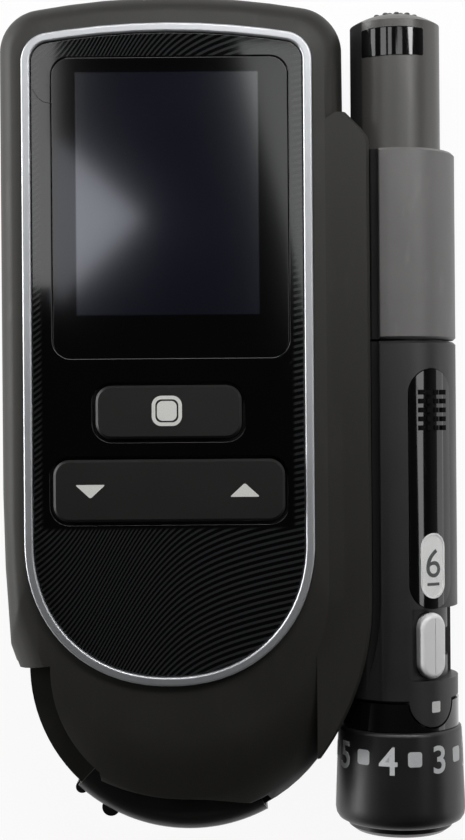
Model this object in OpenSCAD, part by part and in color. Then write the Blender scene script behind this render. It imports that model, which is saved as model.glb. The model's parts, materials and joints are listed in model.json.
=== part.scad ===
// Handheld blood glucose meter with a lancing device held along its right side.
// It lies on its back: +Z points out of the front face, +Y towards the display end and +X towards the
// lancing device. Millimetres. The origin is under the middle of the overall box, on the back face.

/* [Meter housing] */
// Width of the main housing, without the flange
meter_w = 49.1; // [47.5:0.1:52]
// Length from the top edge to the outside of the tip cover
meter_len = 119.14; // [116:0.1:124]
// Height of the seam between the rear and front housings
part_z = 9.8; // [9:0.1:10.6]
// Height of the front housing beside the silver ring
shoulder_z = 18.6; // [18.3:0.1:19]
// Fullness of the front shoulder, as a superellipse exponent
shoulder_n = 2.6; // [2:0.1:4]
// Radius of the rounded edge of the back
back_round = 3; // [2:0.25:3.5]
// Radius of the curved top edge
top_r = 108; // [80:1:160]
// Radius of the upper corners
corner_r = 6.4; // [5:0.1:8]
// Radius of the round lower end
bottom_r = 23.2; // [22.6:0.1:23.6]
// How far the round lower end stands past the right wall
bottom_proud = 0.65; // [0.2:0.05:0.7]
// Radius of the slow curve of the lower left side
side_r = 290; // [200:10:600]
// Length of that slow curve
side_len = 23.6; // [15:0.2:26]
// Wall of the housings
wall = 1.6; // [1.4:0.05:1.8]
// Thickness of the deck under the faceplate
deck_t = 1.4; // [1:0.1:1.6]

/* [Ring and faceplate] */
// Width of the silver ring's outline
ring_w = 40.5; // [38:0.5:42]
// Gap between the top edge and the ring
ring_top_gap = 5.14; // [4.5:0.1:7]
// Length of the ring's outline
ring_len = 92.4; // [88:0.2:96]
// Width of the ring's own band
ring_band = 1.25; // [0.8:0.05:1.8]
// Radius of the ring's curved top
ring_top_r = 107; // [80:1:160]
// Radius of the ring's upper corners
ring_corner_r = 4; // [3:0.1:5]
// Fullness of the ring's round lower end
ring_n = 2.15; // [2:0.05:2.6]
// Height of the ring over the deck
ring_h = 2; // [1.8:0.1:2.2]
// Thickness of the faceplate
plate_t = 1.6; // [1.2:0.1:1.8]

/* [Display] */
// Width of the display window
window_w = 32.9; // [30:0.1:35]
// Length of the display window
window_len = 41.85; // [38:0.1:43]
// Gap between the ring's top and the window
window_gap = 4.75; // [3.5:0.1:6]
// Corner radius of the display window
window_r = 2.5; // [1.5:0.1:4]
// Width of the lit part of the display
screen_w = 25.45; // [22:0.1:28]
// Length of the lit part of the display
screen_len = 33.8; // [30:0.1:36]
// Margin between the window's top and the lit part
screen_gap = 2.11; // [1.5:0.1:4]

/* [Keys] */
// Width of the test key
test_w = 20.3; // [16:0.1:24]
// Length of the test key
test_len = 7.4; // [6:0.1:8]
// Distance from the top edge to the middle of the test key
test_from_top = 59.34; // [58.5:0.1:60]
// Width of the rocker key
rocker_w = 32.2; // [28:0.1:34]
// Length of the rocker key
rocker_len = 8.6; // [7:0.1:9.5]
// Distance between the middles of the two keys
key_pitch = 10.9; // [10.5:0.1:12]
// Corner radius of the keys
key_r = 2.2; // [1:0.1:3]
// Height of the keys over the deck
key_h = 2.4; // [2.2:0.1:2.8]
// Travel of the test key
key_travel = 0.6; // [0.4:0.05:0.7]
// Tilt of the rocker key to each side, in degrees
rocker_tilt = 2.5; // [1:0.1:2.5]
// Bevel round the top of the keys
key_bevel = 0.35; // [0.2:0.05:0.6]

/* [Flanges] */
// How far the front flange reaches past the right wall
flange_reach = 3.3; // [2.8:0.1:3.4]
// How far the rear flange reaches past the right wall
rear_flange_reach = 2.9; // [2.4:0.1:3]
// Distance from the top edge to the flanges' upper end
flange_from_top = 19.74; // [18:0.2:21]
// Length of the flanges' straight outer edge
flange_straight = 66.1; // [60:0.5:70]
// Radius of the sweep from that edge into the round lower end
flange_sweep_r = 37; // [32:1:44]
// Radius of the flanges' upper corner
flange_corner_r = 2.2; // [1:0.1:3]
// Height of the front flange's upper face over its underside
flange_t = 2.8; // [2.4:0.1:2.9]
// Radius of the hollow fillet between the wall and the flanges' upper end
flange_fillet = 2.2; // [1:0.1:3]
// Depth of the front flange's upper face under the shoulder
flange_drop = 0.3; // [0.1:0.05:0.6]
// Thickness of the rear flange
rear_flange_t = 2.5; // [2:0.1:2.7]
// Width of the dark gap between the front flange and the lancing device
flange_gap = 1.3; // [0.8:0.1:1.6]
// Width of the lips that hook the lancing device
lip_w = 0.9; // [0.7:0.05:1]
// Height of the lips
lip_h = 0.6; // [0.4:0.05:0.65]

/* [Tip cover] */
// Outer radius of the tip cover
cover_r = 23.7; // [23.5:0.05:24]
// Wall of the tip cover
cover_t = 0.6; // [0.4:0.05:0.6]
// Reach of the cover's front lip under the front skin
cover_lip = 5.7; // [4.5:0.1:5.8]
// Thickness of the cover's front lip
cover_lip_t = 1.1; // [0.8:0.1:1.2]
// Angle at which the closed cover starts, anticlockwise from +X
cover_start = 227; // [225:0.5:229]
// Angle that the tip cover spans
cover_span = 71; // [66:0.5:72]
// Angle through which the cover opens
cover_swing = 44; // [35:0.5:44]

/* [Back covers] */
// Width of the cassette cover, from its hinge to its free edge
lid_w = 41.9; // [38:0.1:42]
// Distance from the top edge to the cassette cover
lid_from_top = 35.84; // [35:0.1:37]
// Distance of the cassette cover's hinge from the right wall
lid_hinge_in = 3.7; // [3.6:0.05:4]
// Radius of the hinge pin
pin_r = 0.6; // [0.4:0.05:0.65]
// Width of the battery door
door_w = 36; // [32:0.5:37]
// Length of the slide catch
catch_len = 15; // [12:0.5:17]
// Height of the slide catch
catch_h = 3.6; // [3:0.1:4]
// How far the slide catch stands out of the left side
catch_proud = 0.3; // [0.2:0.05:0.8]
// Travel of the slide catch
catch_travel = 2.5; // [1.5:0.1:3]

/* [Batteries and circuit] */
// Diameter of the two cells
cell_d = 10.5; // [10.2:0.1:10.6]
// Length of the cells
cell_len = 44.5; // [43.5:0.1:44.5]
// Thickness of the circuit board
board_t = 1; // [0.8:0.1:1.2]
// Thickness of the key mat
mat_t = 1; // [0.7:0.05:1.05]

/* [Test cassette] */
// Width of the cassette's case
case_w = 39; // [37:0.1:39]
// Height of the cassette's case
case_h = 9.3; // [8.6:0.1:9.4]
// Radius of the case's round lower end
case_end_r = 16; // [15:0.1:16.2]
// Wall of the case
case_wall = 1; // [0.8:0.1:1.2]
// Radius of the two reels, as a share of the case's straight length
reel_share = 0.2086; // [0.19:0.001:0.21]

/* [Lancing device] */
// Distance of the device's axis from the meter's right wall
lancer_off = 7.85; // [7.7:0.05:8.2]
// Height of the device's axis
lancer_z = 9.5; // [9.3:0.05:9.7]
// Radius of the sleeve and the barrel
lancer_r = 8.45; // [8.2:0.05:8.5]
// Radius of the plunger button
button_r = 6.45; // [6:0.05:6.5]
// Distance from the top edge of the meter to the button's tip
button_from_top = 2.04; // [1:0.1:4]
// Length of the button that shows
button_len = 19.9; // [18:0.1:21]
// Travel of the plunger button
button_travel = 6; // [4:0.5:7]
// Width of the seam between the sleeve and the barrel
seam = 0.3; // [0.2:0.05:0.5]
// Angle from straight up to the row of windows and controls
face_angle = 29; // [25:0.5:33]
// Width of the glossy insert
insert_w = 6.9; // [6:0.1:7.4]
// Length of the glossy insert
insert_len = 33.8; // [31:0.1:34.5]
// Radius of the barrel's floor under the lever
lever_floor_r = 6.95; // [6.8:0.05:7.1]
// Width of the lever's pill
lever_w = 4.55; // [4:0.05:5]
// Length of the lever's pill
lever_len = 9.3; // [8.5:0.1:9.3]
// Number of lancets in the drum, and so of the lever's turns
lancets = 6; // [6:1:8]

/* [Cap and dial] */
// Radius of the dial's upper end
dial_top_r = 8.9; // [8.6:0.05:8.95]
// Radius of the dial's lower end
dial_r = 9.35; // [9.1:0.05:9.6]
// Length of the dial
dial_len = 13.7; // [12:0.1:14.5]
// Radius of the nose that touches the skin
nose_r = 7.44; // [7:0.02:7.5]
// How far the nose stands out of the dial
nose_out = 1.34; // [0.8:0.02:2]
// How far the nose stands below the tip cover
nose_drop = 0.54; // [0:0.02:1]

/* [Fits] */
// Clearance round pieces that are fixed in a recess
seat = 0.1; // [0.05:0.01:0.15]
// Clearance round pieces that move
slip = 0.2; // [0.15:0.01:0.22]
// Clearance of a shaft in its bore
running = 0.06; // [0.03:0.01:0.1]

/* [Hidden] */
$fn = 64;

// Overall box, which puts the origin under its middle
total_len = meter_len + nose_drop;
total_w = catch_proud + meter_w + lancer_off + dial_r;
top_y = total_len / 2;
left_x = catch_proud - total_w / 2;
right_x = left_x + meter_w;
mid_x = (left_x + right_x) / 2;
// Centre of the round lower end, on which the tip cover turns
end_x = right_x + bottom_proud - bottom_r;
end_y = top_y - meter_len + cover_r;

// Heights, from the back to the front
deck_z = shoulder_z - 1;
inner_z = deck_z - deck_t;
plate_z = deck_z + plate_t;
key_z = deck_z + key_h;
cell_z = wall + 0.25 + cell_d / 2;
board_z = cell_z + cell_d / 2 + 0.25;
mat_z = board_z + board_t;
mat_top = mat_z + mat_t;
key_low = mat_top + key_travel + seat;
case_z = wall + 0.4;
case_top = case_z + case_h;

// Outlines are lists of [start angle of the normal, centre, radius, superellipse exponent]
function polar(a) = [cos(a), sin(a)];
function signed_pow(v, p) = sign(v) * pow(abs(v), p);
function unit_point(a, n) = let (q = n / (n - 1), h = pow(pow(abs(cos(a)), q) + pow(abs(sin(a)), q), 1 / q))
    [signed_pow(cos(a), q - 1), signed_pow(sin(a), q - 1)] / pow(h, q - 1);
// Direction of the normal of the tangent that runs from one circle on to the next, anticlockwise
function tangent_dir(c1, r1, c2, r2) = let (d = c1 - c2) atan2(d[1], d[0]) + acos((r2 - r1) / norm(d));
function stretch_at(outline, a) = let (hits = [for (s = outline) if (s[0] <= a) s])
    len(hits) == 0 ? outline[len(outline) - 1] : hits[len(hits) - 1];
function outline_point(outline, a, inset) = let (s = stretch_at(outline, a))
    s[1] + s[2] * unit_point(a, s[3]) - inset * polar(a);
// The normals at which the outlines are cut into points, closer together along the curved top
NORMALS = concat([for (a = [2.5:5:77.5]) a], [for (a = [80:2.5:100]) a],
    [for (a = [102.5:5:177.5]) a], [180.3], [for (a = [182.5:5:357.5]) a]);
function outline_points(outline, inset) = [for (a = NORMALS) outline_point(outline, a, inset)];

// Upper part of an outline: a straight-sided body with round corners under one wide arc
function corner_drop(w, r, big) = sqrt(pow(big - r, 2) - pow(w / 2 - r, 2));
function corner_dir(w, r, big) = atan2(corner_drop(w, r, big), w / 2 - r);
function corner_y(w, r, big, top) = top - big + corner_drop(w, r, big);

// The housing's outline at the seam
rim_corner_y = corner_y(meter_w, corner_r, top_r, top_y);
rim_dir = corner_dir(meter_w, corner_r, top_r);
side_angle = asin(side_len / side_r);
side_y = end_y + 3 + side_len;
knee_r = 1.2;
knee = [left_x + side_r - (side_r - knee_r) * cos(side_angle), side_y - (side_r - knee_r) * sin(side_angle)];
end_c = [end_x, end_y];
rim_corner = [right_x - corner_r, rim_corner_y];
RIM = [
    [tangent_dir(end_c, bottom_r, rim_corner, corner_r) - 360, rim_corner, corner_r, 2],
    [rim_dir, [mid_x, top_y - top_r], top_r, 2],
    [180 - rim_dir, [left_x + corner_r, rim_corner_y], corner_r, 2],
    [180, [left_x + side_r, side_y], side_r, 2],
    [180 + side_angle, knee, knee_r, 2],
    [tangent_dir(knee, knee_r, end_c, bottom_r), end_c, bottom_r, 2]];

// The silver ring's outline
ring_x = mid_x - 0.4;
ring_top = top_y - ring_top_gap;
ring_dir = corner_dir(ring_w, ring_corner_r, ring_top_r);
ring_corner_y = corner_y(ring_w, ring_corner_r, ring_top_r, ring_top);
ring_end_r = ring_w / 2;
RING = [
    [0, [ring_x + ring_end_r - ring_corner_r, ring_corner_y], ring_corner_r, 2],
    [ring_dir, [ring_x, ring_top - ring_top_r], ring_top_r, 2],
    [180 - ring_dir, [ring_x - ring_end_r + ring_corner_r, ring_corner_y], ring_corner_r, 2],
    [180, [ring_x, ring_top - ring_len + ring_end_r], ring_end_r, ring_n]];

// Display and keys
window_x = mid_x;
window_y = ring_top - window_gap - window_len / 2;
screen_x = mid_x - 0.4;
screen_y = window_y + window_len / 2 - screen_gap - screen_len / 2;
test_c = [ring_x, top_y - test_from_top];
rocker_c = [ring_x, test_c[1] - key_pitch];
rocker_arm = rocker_w / 2 - 5.4;
fulcrum_r = 0.45;
key_recess = 0.5;

// Flanges
flange_x = right_x + flange_reach;
rear_flange_x = right_x + rear_flange_reach;
flange_top = top_y - flange_from_top;
flange_low = flange_top - flange_straight;
flange_z = shoulder_z - flange_drop;
flange_under = flange_z - flange_t;
flange_root = right_x - 4.1;
rear_flange_z = 1;
rear_flange_top = rear_flange_z + rear_flange_t;
lip_from = flange_low + 1;
lip_to = flange_top - 4;

// The tip cover's track in the lower end
skin_z = flange_under - 1;
track_z = skin_z - cover_lip_t - 2 * slip;
track_r = cover_r - cover_t - slip - 0.1;
track_in = cover_r - cover_lip - slip;
track_from = cover_start - cover_swing - 5;
track_to = cover_start + cover_span + 3;
skin_open_r = 19.3;
cover_low = 0.9;
cover_lip_z = skin_z - slip;
rear_lip_in = cover_r - 3.7;
tip_half = 3.5;

// Cavities and covers of the back
bay_r = case_end_r + 0.6;
bay_in = wall + 0.2;
bay_top = top_y - 4.44;
bay_low = end_y + 7.6;
lid_hinge_x = right_x - lid_hinge_in;
lid_left = lid_hinge_x - lid_w;
lid_top = top_y - lid_from_top;
lid_low = bay_low;
lid_len = lid_top - lid_low;
lid_end_r = bay_r - 0.4;
knuckle_r = 2 * pin_r;
lid_hook_z = 4;
door_low = lid_top + 4.9;
cell_y = door_low + cell_d / 2 + 0.1;
cell_pitch = cell_d + 0.4;
door_top = cell_y + cell_pitch + cell_d / 2 + 0.9;
door_left = mid_x - door_w / 2;
door_hinge = [door_top, wall / 2];
partition_y = lid_top + 3;
catch_mid = (lid_top + lid_low) / 2 + 0.9;
catch_z = 6.9;
catch_pocket = 0.6;

// Test cassette
case_left = mid_x - case_w / 2;
case_upper = lid_top - 4;
case_low = bay_low + 0.6;
reel_r = reel_share * (case_upper - end_y);
take_up_y = case_upper - case_wall - reel_r - 0.4;
supply_y = take_up_y - 0.45 * (case_upper - end_y);
reel_z = case_z + case_wall + 0.2;
reel_top = case_top - case_wall - 0.2;
post_r = 1.5;
spindle_r = 1.6;
tape_t = 0.3;
tape_w = 4;
tape_z = (case_z + case_top) / 2;
tip_y = end_y - track_r + 1;

// Lancing device, in a frame of its own whose z axis is the device's axis
lancer_x = right_x + lancer_off;
lancer_flat = right_x + bottom_proud + 0.25;
sleeve_bore = button_r + 0.1;
button_tip = top_y - button_from_top;
band_high = button_tip - 3.1;
band_len = 3.9;
band_angle = -12;
band_half = 29;
sleeve_top = button_tip - button_len - 0.5;
lever_y = end_y + 2.9;
lever_room = 0.25;
lever_swing = 360 / lancets;
lever_top = lever_y + lever_len / 2 + 0.6;
lever_bottom = lever_y - lever_len / 2 - lever_room;
lever_top_r = lancer_r + 0.45;
insert_low = lever_top - 0.05;
insert_y = insert_low + insert_len / 2;
insert_top = insert_low + insert_len;
insert_low_r = lancer_r - 0.75;
insert_high_r = lancer_r + 0.12;
grip_y = insert_top - 3.3;
grip_pitch = 1.25;
barrel_top = insert_top + 3.94;
barrel_low = end_y - 5.05;
barrel_bore = 6.2;
sleeve_low = barrel_top + seam;
sleeve_len = sleeve_top - sleeve_low;
spigot_top = sleeve_low + 5;
skirt_low = spigot_top + button_travel + 2.5;
number_size = [3.6, 8.6];
number_y = insert_low + 6.1;
wheel_half = number_size[1] / 2 + 0.7;
wheel_r = barrel_bore - slip;
shaft_r = 1.6;
tab_low = barrel_low - 3.45;
tab_w = 7.2;
collar_r = lancer_r + 0.05;
neck_r = 7;
dial_upper = end_y - 9.2;
dial_lower = dial_upper - dial_len;
nose_low = -total_len / 2;
tube_r = nose_r - 0.1;
drum_bore = 5.9;
drum_r = drum_bore - 0.5;
drum_low = dial_lower + 2.5;
lancet_ring_r = 3.7;
lancet_r = 1.2;
spring_turns = 8;
spring_r = 3.6;
spring_wire = 0.4;
spring_low = barrel_top - 5;
spring_high = skirt_low + 4;

module lancer_frame() translate([lancer_x, 0, lancer_z]) rotate([-90, 0, 0]) children();
// Turns what is drawn on the device's -y side to an angle from straight up
module facing(a) rotate([0, 0, a]) children();

module loft(rings) {
    n = len(rings[0]);
    m = len(rings);
    sides = [for (k = [0:m - 2], i = [0:n - 1])
        each let (a = k * n + i, b = k * n + (i + 1) % n, c = b + n, d = a + n) [[a, d, c], [a, c, b]]];
    polyhedron([for (r = rings) each r],
        concat([[for (i = [0:n - 1]) i]], sides, [[for (i = [n - 1:-1:0]) (m - 1) * n + i]]));
}

module rounded(w, h, r) {
    square([w - 2 * r, h], center = true);
    square([w, h - 2 * r], center = true);
    for (x = [-1, 1], y = [-1, 1]) translate([x * (w / 2 - r), y * (h / 2 - r)]) circle(r);
}

module pill(w, h) {
    translate([-w / 2, -(h - w) / 2]) square([w, h - w]);
    for (s = [-1, 1]) translate([0, s * (h - w) / 2]) circle(w / 2);
}

module slab(low, high) translate([0, 0, low]) linear_extrude(high - low) children();

module tube(r_out, r_in, low, high) slab(low, high) difference() {
    circle(r_out);
    circle(r_in);
}

module sector(r_in, r_out, low, high, from, to) rotate([0, 0, from]) rotate_extrude(angle = to - from)
    translate([r_in, low]) square([r_out - r_in, high - low]);

function lifted(points, z) = [for (p = points) [p[0], p[1], z]];

// What lies between two heights, so that both ends are cut flat in one face
module trimmed(low, high) intersection() {
    children();
    slab(low, high) square(2 * total_len, center = true);
}

// Front form: from the ring's outline out and down to the rim, along a superellipse
module front_form() {
    ring = outline_points(RING, 0);
    rim = outline_points(RIM, 0);
    rise = shoulder_z - part_z;
    rings = [for (t = [90:-15:0])
        let (s = pow(sin(t), 2 / shoulder_n), z = part_z + rise * pow(cos(t), 2 / shoulder_n))
            lifted(ring + s * (rim - ring), z)];
    trimmed(part_z, shoulder_z + 1) loft(concat([lifted(rim, part_z - 1)], rings));
}

// Rear form: straight sides with a rounded edge to the back face
module rear_form() {
    rings = [for (t = [0:22.5:90])
        lifted(outline_points(RIM, back_round * (1 - sin(t))), back_round * (1 - cos(t)))];
    trimmed(0, part_z) loft(concat([lifted(outline_points(RIM, back_round), -1)], rings,
        [lifted(outline_points(RIM, 0), part_z + 1)]));
}

module flange_outline(edge) intersection() {
    union() {
        translate([edge - flange_sweep_r, flange_low]) circle(flange_sweep_r, $fn = 200);
        translate([flange_root, flange_low]) {
            square([edge - flange_root, flange_straight - flange_corner_r]);
            square([edge - flange_root - flange_corner_r, flange_straight]);
        }
        translate([edge - flange_corner_r, flange_top - flange_corner_r]) circle(flange_corner_r);
        translate([right_x, flange_top]) difference() {
            translate([-1, -1]) square(1 + flange_fillet);
            translate([flange_fillet, flange_fillet]) circle(flange_fillet);
        }
    }
    translate([flange_root, end_y - bottom_r])
        square([edge - flange_root, flange_top + flange_fillet - end_y + bottom_r]);
}

module bay_outline() {
    w = meter_w - 2 * bay_in;
    translate([mid_x, (bay_top + bay_low) / 2]) rounded(w, bay_top - bay_low, 4);
    translate(end_c) circle(bay_r);
}

module lid_outline(grow) {
    translate([lid_left - grow, lid_low - grow]) square([lid_w + grow, lid_len + 2 * grow]);
    translate(end_c) circle(lid_end_r + 1.75 * grow);
}

module door_outline(grow) translate([door_left - grow, door_low - grow])
    square([door_w + 2 * grow, door_top - door_low + grow]);

SCREWS = [[mid_x - 20.3, bay_top - 1.9], [mid_x + 20.3, bay_top - 1.9], [left_x + 6.6, end_y + 4.9],
    end_c + 19.5 * polar(7)];
screw_r = 0.8;
screw_head_r = 1.3;
screw_head_h = 1.1;

module at_screws() for (s = SCREWS) translate([s[0], s[1], 0]) children();

// Room for the tip cover: a slot under the front skin, a stepped rim and a slot in the back
module track_cuts() translate([end_x, end_y, 0]) {
    sector(track_in, bottom_r + 6, track_z, skin_z, track_from, track_to);
    sector(track_r, bottom_r + 6, -1, track_z + 0.01, track_from, track_to);
    sector(rear_lip_in - slip, bottom_r + 6, -1, cover_low + 1.5, track_from, track_to);
}

// Radius of the front skin's lower edge: a plain arc over the open recess, then a shallow wave
function skin_edge(a) = a < cover_start + 3 ? skin_open_r
    : a < 270 ? 18.55 + 0.00115 * pow(a - 270, 2) : 18.55 + 0.005 * pow(a - 270, 2);

module skin_cut() slab(skin_z - 0.01, shoulder_z + 1) translate(end_c) polygon(concat(
    [for (a = [track_from:3:track_to]) skin_edge(a) * polar(a)],
    [for (a = [track_to:-10:track_from]) (bottom_r + 6) * polar(a)]));

// The opening at the lower end in which the tape's tip stands
module tip_mouth() translate([end_x - tip_half - 0.5, end_y - bay_r + 2 - bottom_r, case_z - 0.2])
    cube([2 * tip_half + 1, bottom_r, case_h + 0.4]);

module front_flange() {
    slab(flange_under, flange_z - 0.5) flange_outline(flange_x);
    hull() {
        slab(flange_z - 0.51, flange_z - 0.5) flange_outline(flange_x);
        translate([-0.45, 0, 0]) slab(flange_z - 0.02, flange_z) flange_outline(flange_x);
    }
    translate([flange_x - lip_w, lip_from, flange_under - lip_h])
        cube([lip_w, lip_to - lip_from, lip_h + 0.1]);
}

module rear_flange() {
    slab(rear_flange_z, rear_flange_top) flange_outline(rear_flange_x);
    translate([rear_flange_x - lip_w, lip_from, rear_flange_top - 0.1])
        cube([lip_w, lip_to - lip_from, lip_h + 0.1]);
}

module front_housing() color("#3a3833") difference() {
    union() {
        difference() {
            union() {
                front_form();
                front_flange();
            }
            slab(part_z - 1, inner_z) bay_outline();
        }
        at_screws() slab(part_z, inner_z + 0.1) circle(2.2);
    }
    slab(deck_z, shoulder_z + 2) polygon(outline_points(RING, -seat));
    slab(inner_z - 0.1, deck_z + 0.1) {
        translate([screen_x, screen_y]) rounded(screen_w + 2, screen_len + 2, 0.8);
        translate(test_c) rounded(test_w + 2 * slip, test_len + 2 * slip, key_r);
        translate(rocker_c) rounded(rocker_w + 3 * slip, rocker_len + 2 * slip, key_r);
    }
    track_cuts();
    skin_cut();
    tip_mouth();
    usb_room();
    at_screws() slab(part_z - 1, part_z + 3.4) circle(screw_r + running);
}

module rear_housing() color("#35332f") difference() {
    union() {
        difference() {
            union() {
                rear_form();
                rear_flange();
            }
            slab(wall, part_z + 1) bay_outline();
        }
        slab(wall - 0.1, cell_z + 1) translate([left_x + bay_in - 0.1, partition_y])
            square([meter_w - 2 * bay_in + 0.2, 1]);
        at_screws() slab(wall - 0.1, part_z) circle(2.2);
        for (y = [lid_top + slip, lid_low - 2.6]) translate([lid_hinge_x - knuckle_r - 0.2, y, wall - 0.1])
            cube([2 * knuckle_r + 0.3, 2.4, 2 * knuckle_r - wall + 0.6]);
    }
    slab(-1, wall + 0.01) {
        lid_outline(slip);
        door_outline(slip);
    }
    translate([lid_hinge_x - knuckle_r - slip, lid_low - slip, -1])
        cube([2 * (knuckle_r + slip), lid_len + 2 * slip, 2 * knuckle_r + 1 + slip]);
    translate([door_left - slip, door_top - 0.1, -1])
        cube([door_w + 2 * slip, wall / 2 + 0.1 + slip, wall + 1.01]);
    pin_bore(running, lid_low - 2.1, lid_top + 2.1);
    track_cuts();
    tip_mouth();
    catch_room();
    at_screws() {
        slab(-1, screw_head_h) circle(screw_head_r + seat);
        slab(0, part_z + 1) circle(screw_r + running);
    }
}

module pin_bore(grow, from, to) translate([lid_hinge_x, from, knuckle_r]) rotate([-90, 0, 0])
    cylinder(r = pin_r + grow, h = to - from);

module trim_ring() color("#c9cbce") slab(deck_z, deck_z + ring_h) difference() {
    polygon(outline_points(RING, 0));
    polygon(outline_points(RING, ring_band));
}

module faceplate() color("#0c0d0f") slab(deck_z, plate_z) difference() {
    polygon(outline_points(RING, ring_band + seat));
    translate([window_x, window_y]) rounded(window_w + 2 * seat, window_len + 2 * seat, window_r + seat);
    translate(test_c) rounded(test_w + 2 * key_recess, test_len + 2 * key_recess, key_r + key_recess);
    translate(rocker_c) rounded(rocker_w + 2 * key_recess, rocker_len + 2 * key_recess, key_r + key_recess);
}

module display_window() color("#15171a") slab(deck_z, plate_z) translate([window_x, window_y])
    rounded(window_w, window_len, window_r);

module display_panel() color("#1d2228") translate([screen_x, screen_y, 0]) {
    slab(mat_z, inner_z - seat) rounded(screen_w + 6, screen_len + 6, 1);
    slab(inner_z - seat, deck_z - seat) rounded(screen_w + 1.4, screen_len + 1.4, 0.6);
}

module circuit_board() color("#1f5a38") difference() {
    slab(board_z, mat_z) translate([mid_x, (bay_top + bay_low) / 2])
        rounded(meter_w - 2 * bay_in - 0.6, bay_top - bay_low - 0.6, 3.7);
    at_screws() slab(board_z - 1, mat_z + 1) circle(2.5);
}

module key_mat() color("#55565a") {
    low = rocker_c[1] - rocker_len / 2 - 1;
    slab(mat_z, mat_z + 0.4) translate([ring_x, (test_c[1] + rocker_c[1]) / 2])
        rounded(rocker_w + 3, 2 * ((test_c[1] + rocker_c[1]) / 2 - low), 2);
    for (p = [test_c, rocker_c - [rocker_arm, 0], rocker_c + [rocker_arm, 0]])
        slab(mat_z, mat_top) translate(p) circle(2.6);
}

// A key with a bevel round its top, which shows as a soft edge
module key_form(w, h, low) {
    slab(low, key_z - key_bevel) rounded(w, h, key_r);
    hull() {
        slab(key_z - key_bevel - 0.01, key_z - key_bevel) rounded(w, h, key_r, $fn = 32);
        slab(key_z - 0.01, key_z) rounded(w - 2 * key_bevel, h - 2 * key_bevel, key_r - key_bevel, $fn = 32);
    }
}

module test_key() color("#1a1a18") translate([test_c[0], test_c[1], 0]) {
    key_form(test_w, test_len, key_low);
    slab(key_low, inner_z - seat) rounded(test_w + 1.6, test_len + 1.6, key_r + 0.8);
}

module rocker_key() color("#1a1a18") translate([rocker_c[0], rocker_c[1], 0]) {
    key_form(rocker_w, rocker_len, mat_top + (rocker_w / 2 + 0.6) * sin(rocker_tilt) + 0.07);
    translate([0, -rocker_len / 2 - 1, inner_z - 0.1 - fulcrum_r]) rotate([-90, 0, 0])
        cylinder(r = fulcrum_r, h = rocker_len + 2);
}

module usb_room() translate([mid_x - 3.9, bay_top - 1, mat_z - 0.1]) cube([7.8, 20, 2.65]);

module usb_port() color("#b9bbbd") translate([mid_x - 3.8, bay_top - 1.4, mat_z]) difference() {
    cube([7.6, 5, 2.45]);
    translate([0.4, 1, 0.4]) cube([6.8, 5, 1.65]);
}

module housing_screws() color("#8b8d90") at_screws() {
    difference() {
        slab(0.1, screw_head_h - 0.02) circle(screw_head_r);
        slab(0, 0.6) square([2.2, 0.4], center = true);
        slab(0, 0.6) square([0.4, 2.2], center = true);
    }
    slab(screw_head_h - 0.03, part_z + 3.2) circle(screw_r);
}

// Back covers, catch and batteries

module cassette_cover() color("#35332f") difference() {
    union() {
        slab(0, wall) difference() {
            lid_outline(0);
            translate([lid_hinge_x, lid_low]) square([knuckle_r + 1, lid_len]);
        }
        translate([lid_hinge_x, lid_low + slip, knuckle_r]) rotate([-90, 0, 0])
            cylinder(r = knuckle_r, h = lid_len - 2 * slip);
        for (y = [catch_mid - 5, catch_mid + 2]) translate([lid_left + 0.2, y, wall - 0.1]) {
            cube([0.9, 3, lid_hook_z - wall]);
            translate([-0.6, 0, lid_hook_z - wall - 0.7]) cube([0.7, 3, 0.7]);
        }
    }
    pin_bore(running, lid_low - 1, lid_top + 1);
    for (k = [0:4]) translate([lid_left + 3 + 1.6 * k, catch_mid - 6, -0.01]) cube([0.7, 12, 0.41]);
}

module cassette_cover_pin() color("#9a9c9f") pin_bore(0, lid_low - 1.9, lid_top + 1.9);

module battery_door() color("#35332f") difference() {
    union() {
        slab(0, wall) door_outline(0);
        translate([door_left, door_hinge[0], door_hinge[1]]) rotate([0, 90, 0])
            cylinder(r = wall / 2, h = door_w);
        translate([mid_x - 3, door_low + 0.2, wall - 0.1]) cube([6, 0.8, 2]);
    }
    for (k = [0:3]) translate([mid_x - 6, door_low + 2.5 + 1.6 * k, -0.01]) cube([12, 0.7, 0.41]);
}

module catch_room() translate([left_x, catch_mid - catch_travel, catch_z]) {
    long = catch_len + catch_travel + 2 * slip;
    translate([-2, -catch_len / 2 - slip, -catch_h / 2 - slip])
        cube([2 + catch_pocket, long, catch_h + 2 * slip]);
    translate([0, -4 - slip, -0.9 - slip]) cube([bay_in + 1, 8 + catch_travel + 2 * slip, 1.8 + 2 * slip]);
}

module slide_catch() color("#2c2b28") translate([left_x, catch_mid, catch_z]) {
    rotate([90, 0, 90]) slab(-catch_proud, catch_pocket - 0.1) pill_flat(catch_len, catch_h);
    translate([catch_pocket - 0.15, -4, -0.9]) cube([bay_in - catch_pocket + 0.3, 8, 1.8]);
    translate([bay_in + 0.1, -5, -catch_h / 2]) cube([0.7, 10, catch_h]);
}

module pill_flat(w, h) rotate([0, 0, 90]) pill(h, w);

module cell() {
    rotate([0, 90, 0]) cylinder(d = cell_d, h = cell_len - 1);
    rotate([0, 90, 0]) cylinder(r = 1.9, h = cell_len);
}

module battery_upper() color("#b98a3a")
    translate([mid_x - cell_len / 2, cell_y + cell_pitch, cell_z]) cell();

module battery_lower() color("#b98a3a")
    translate([mid_x + cell_len / 2, cell_y, cell_z]) mirror([1, 0, 0]) cell();

module battery_contacts() color("#c4c6c8") for (s = [-1, 1])
    translate([mid_x + s * (cell_len / 2 + 0.25) - 0.15, cell_y - 3.5, cell_z - 3.5])
        cube([0.3, cell_pitch + 7, 7]);

// Test cassette

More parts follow.
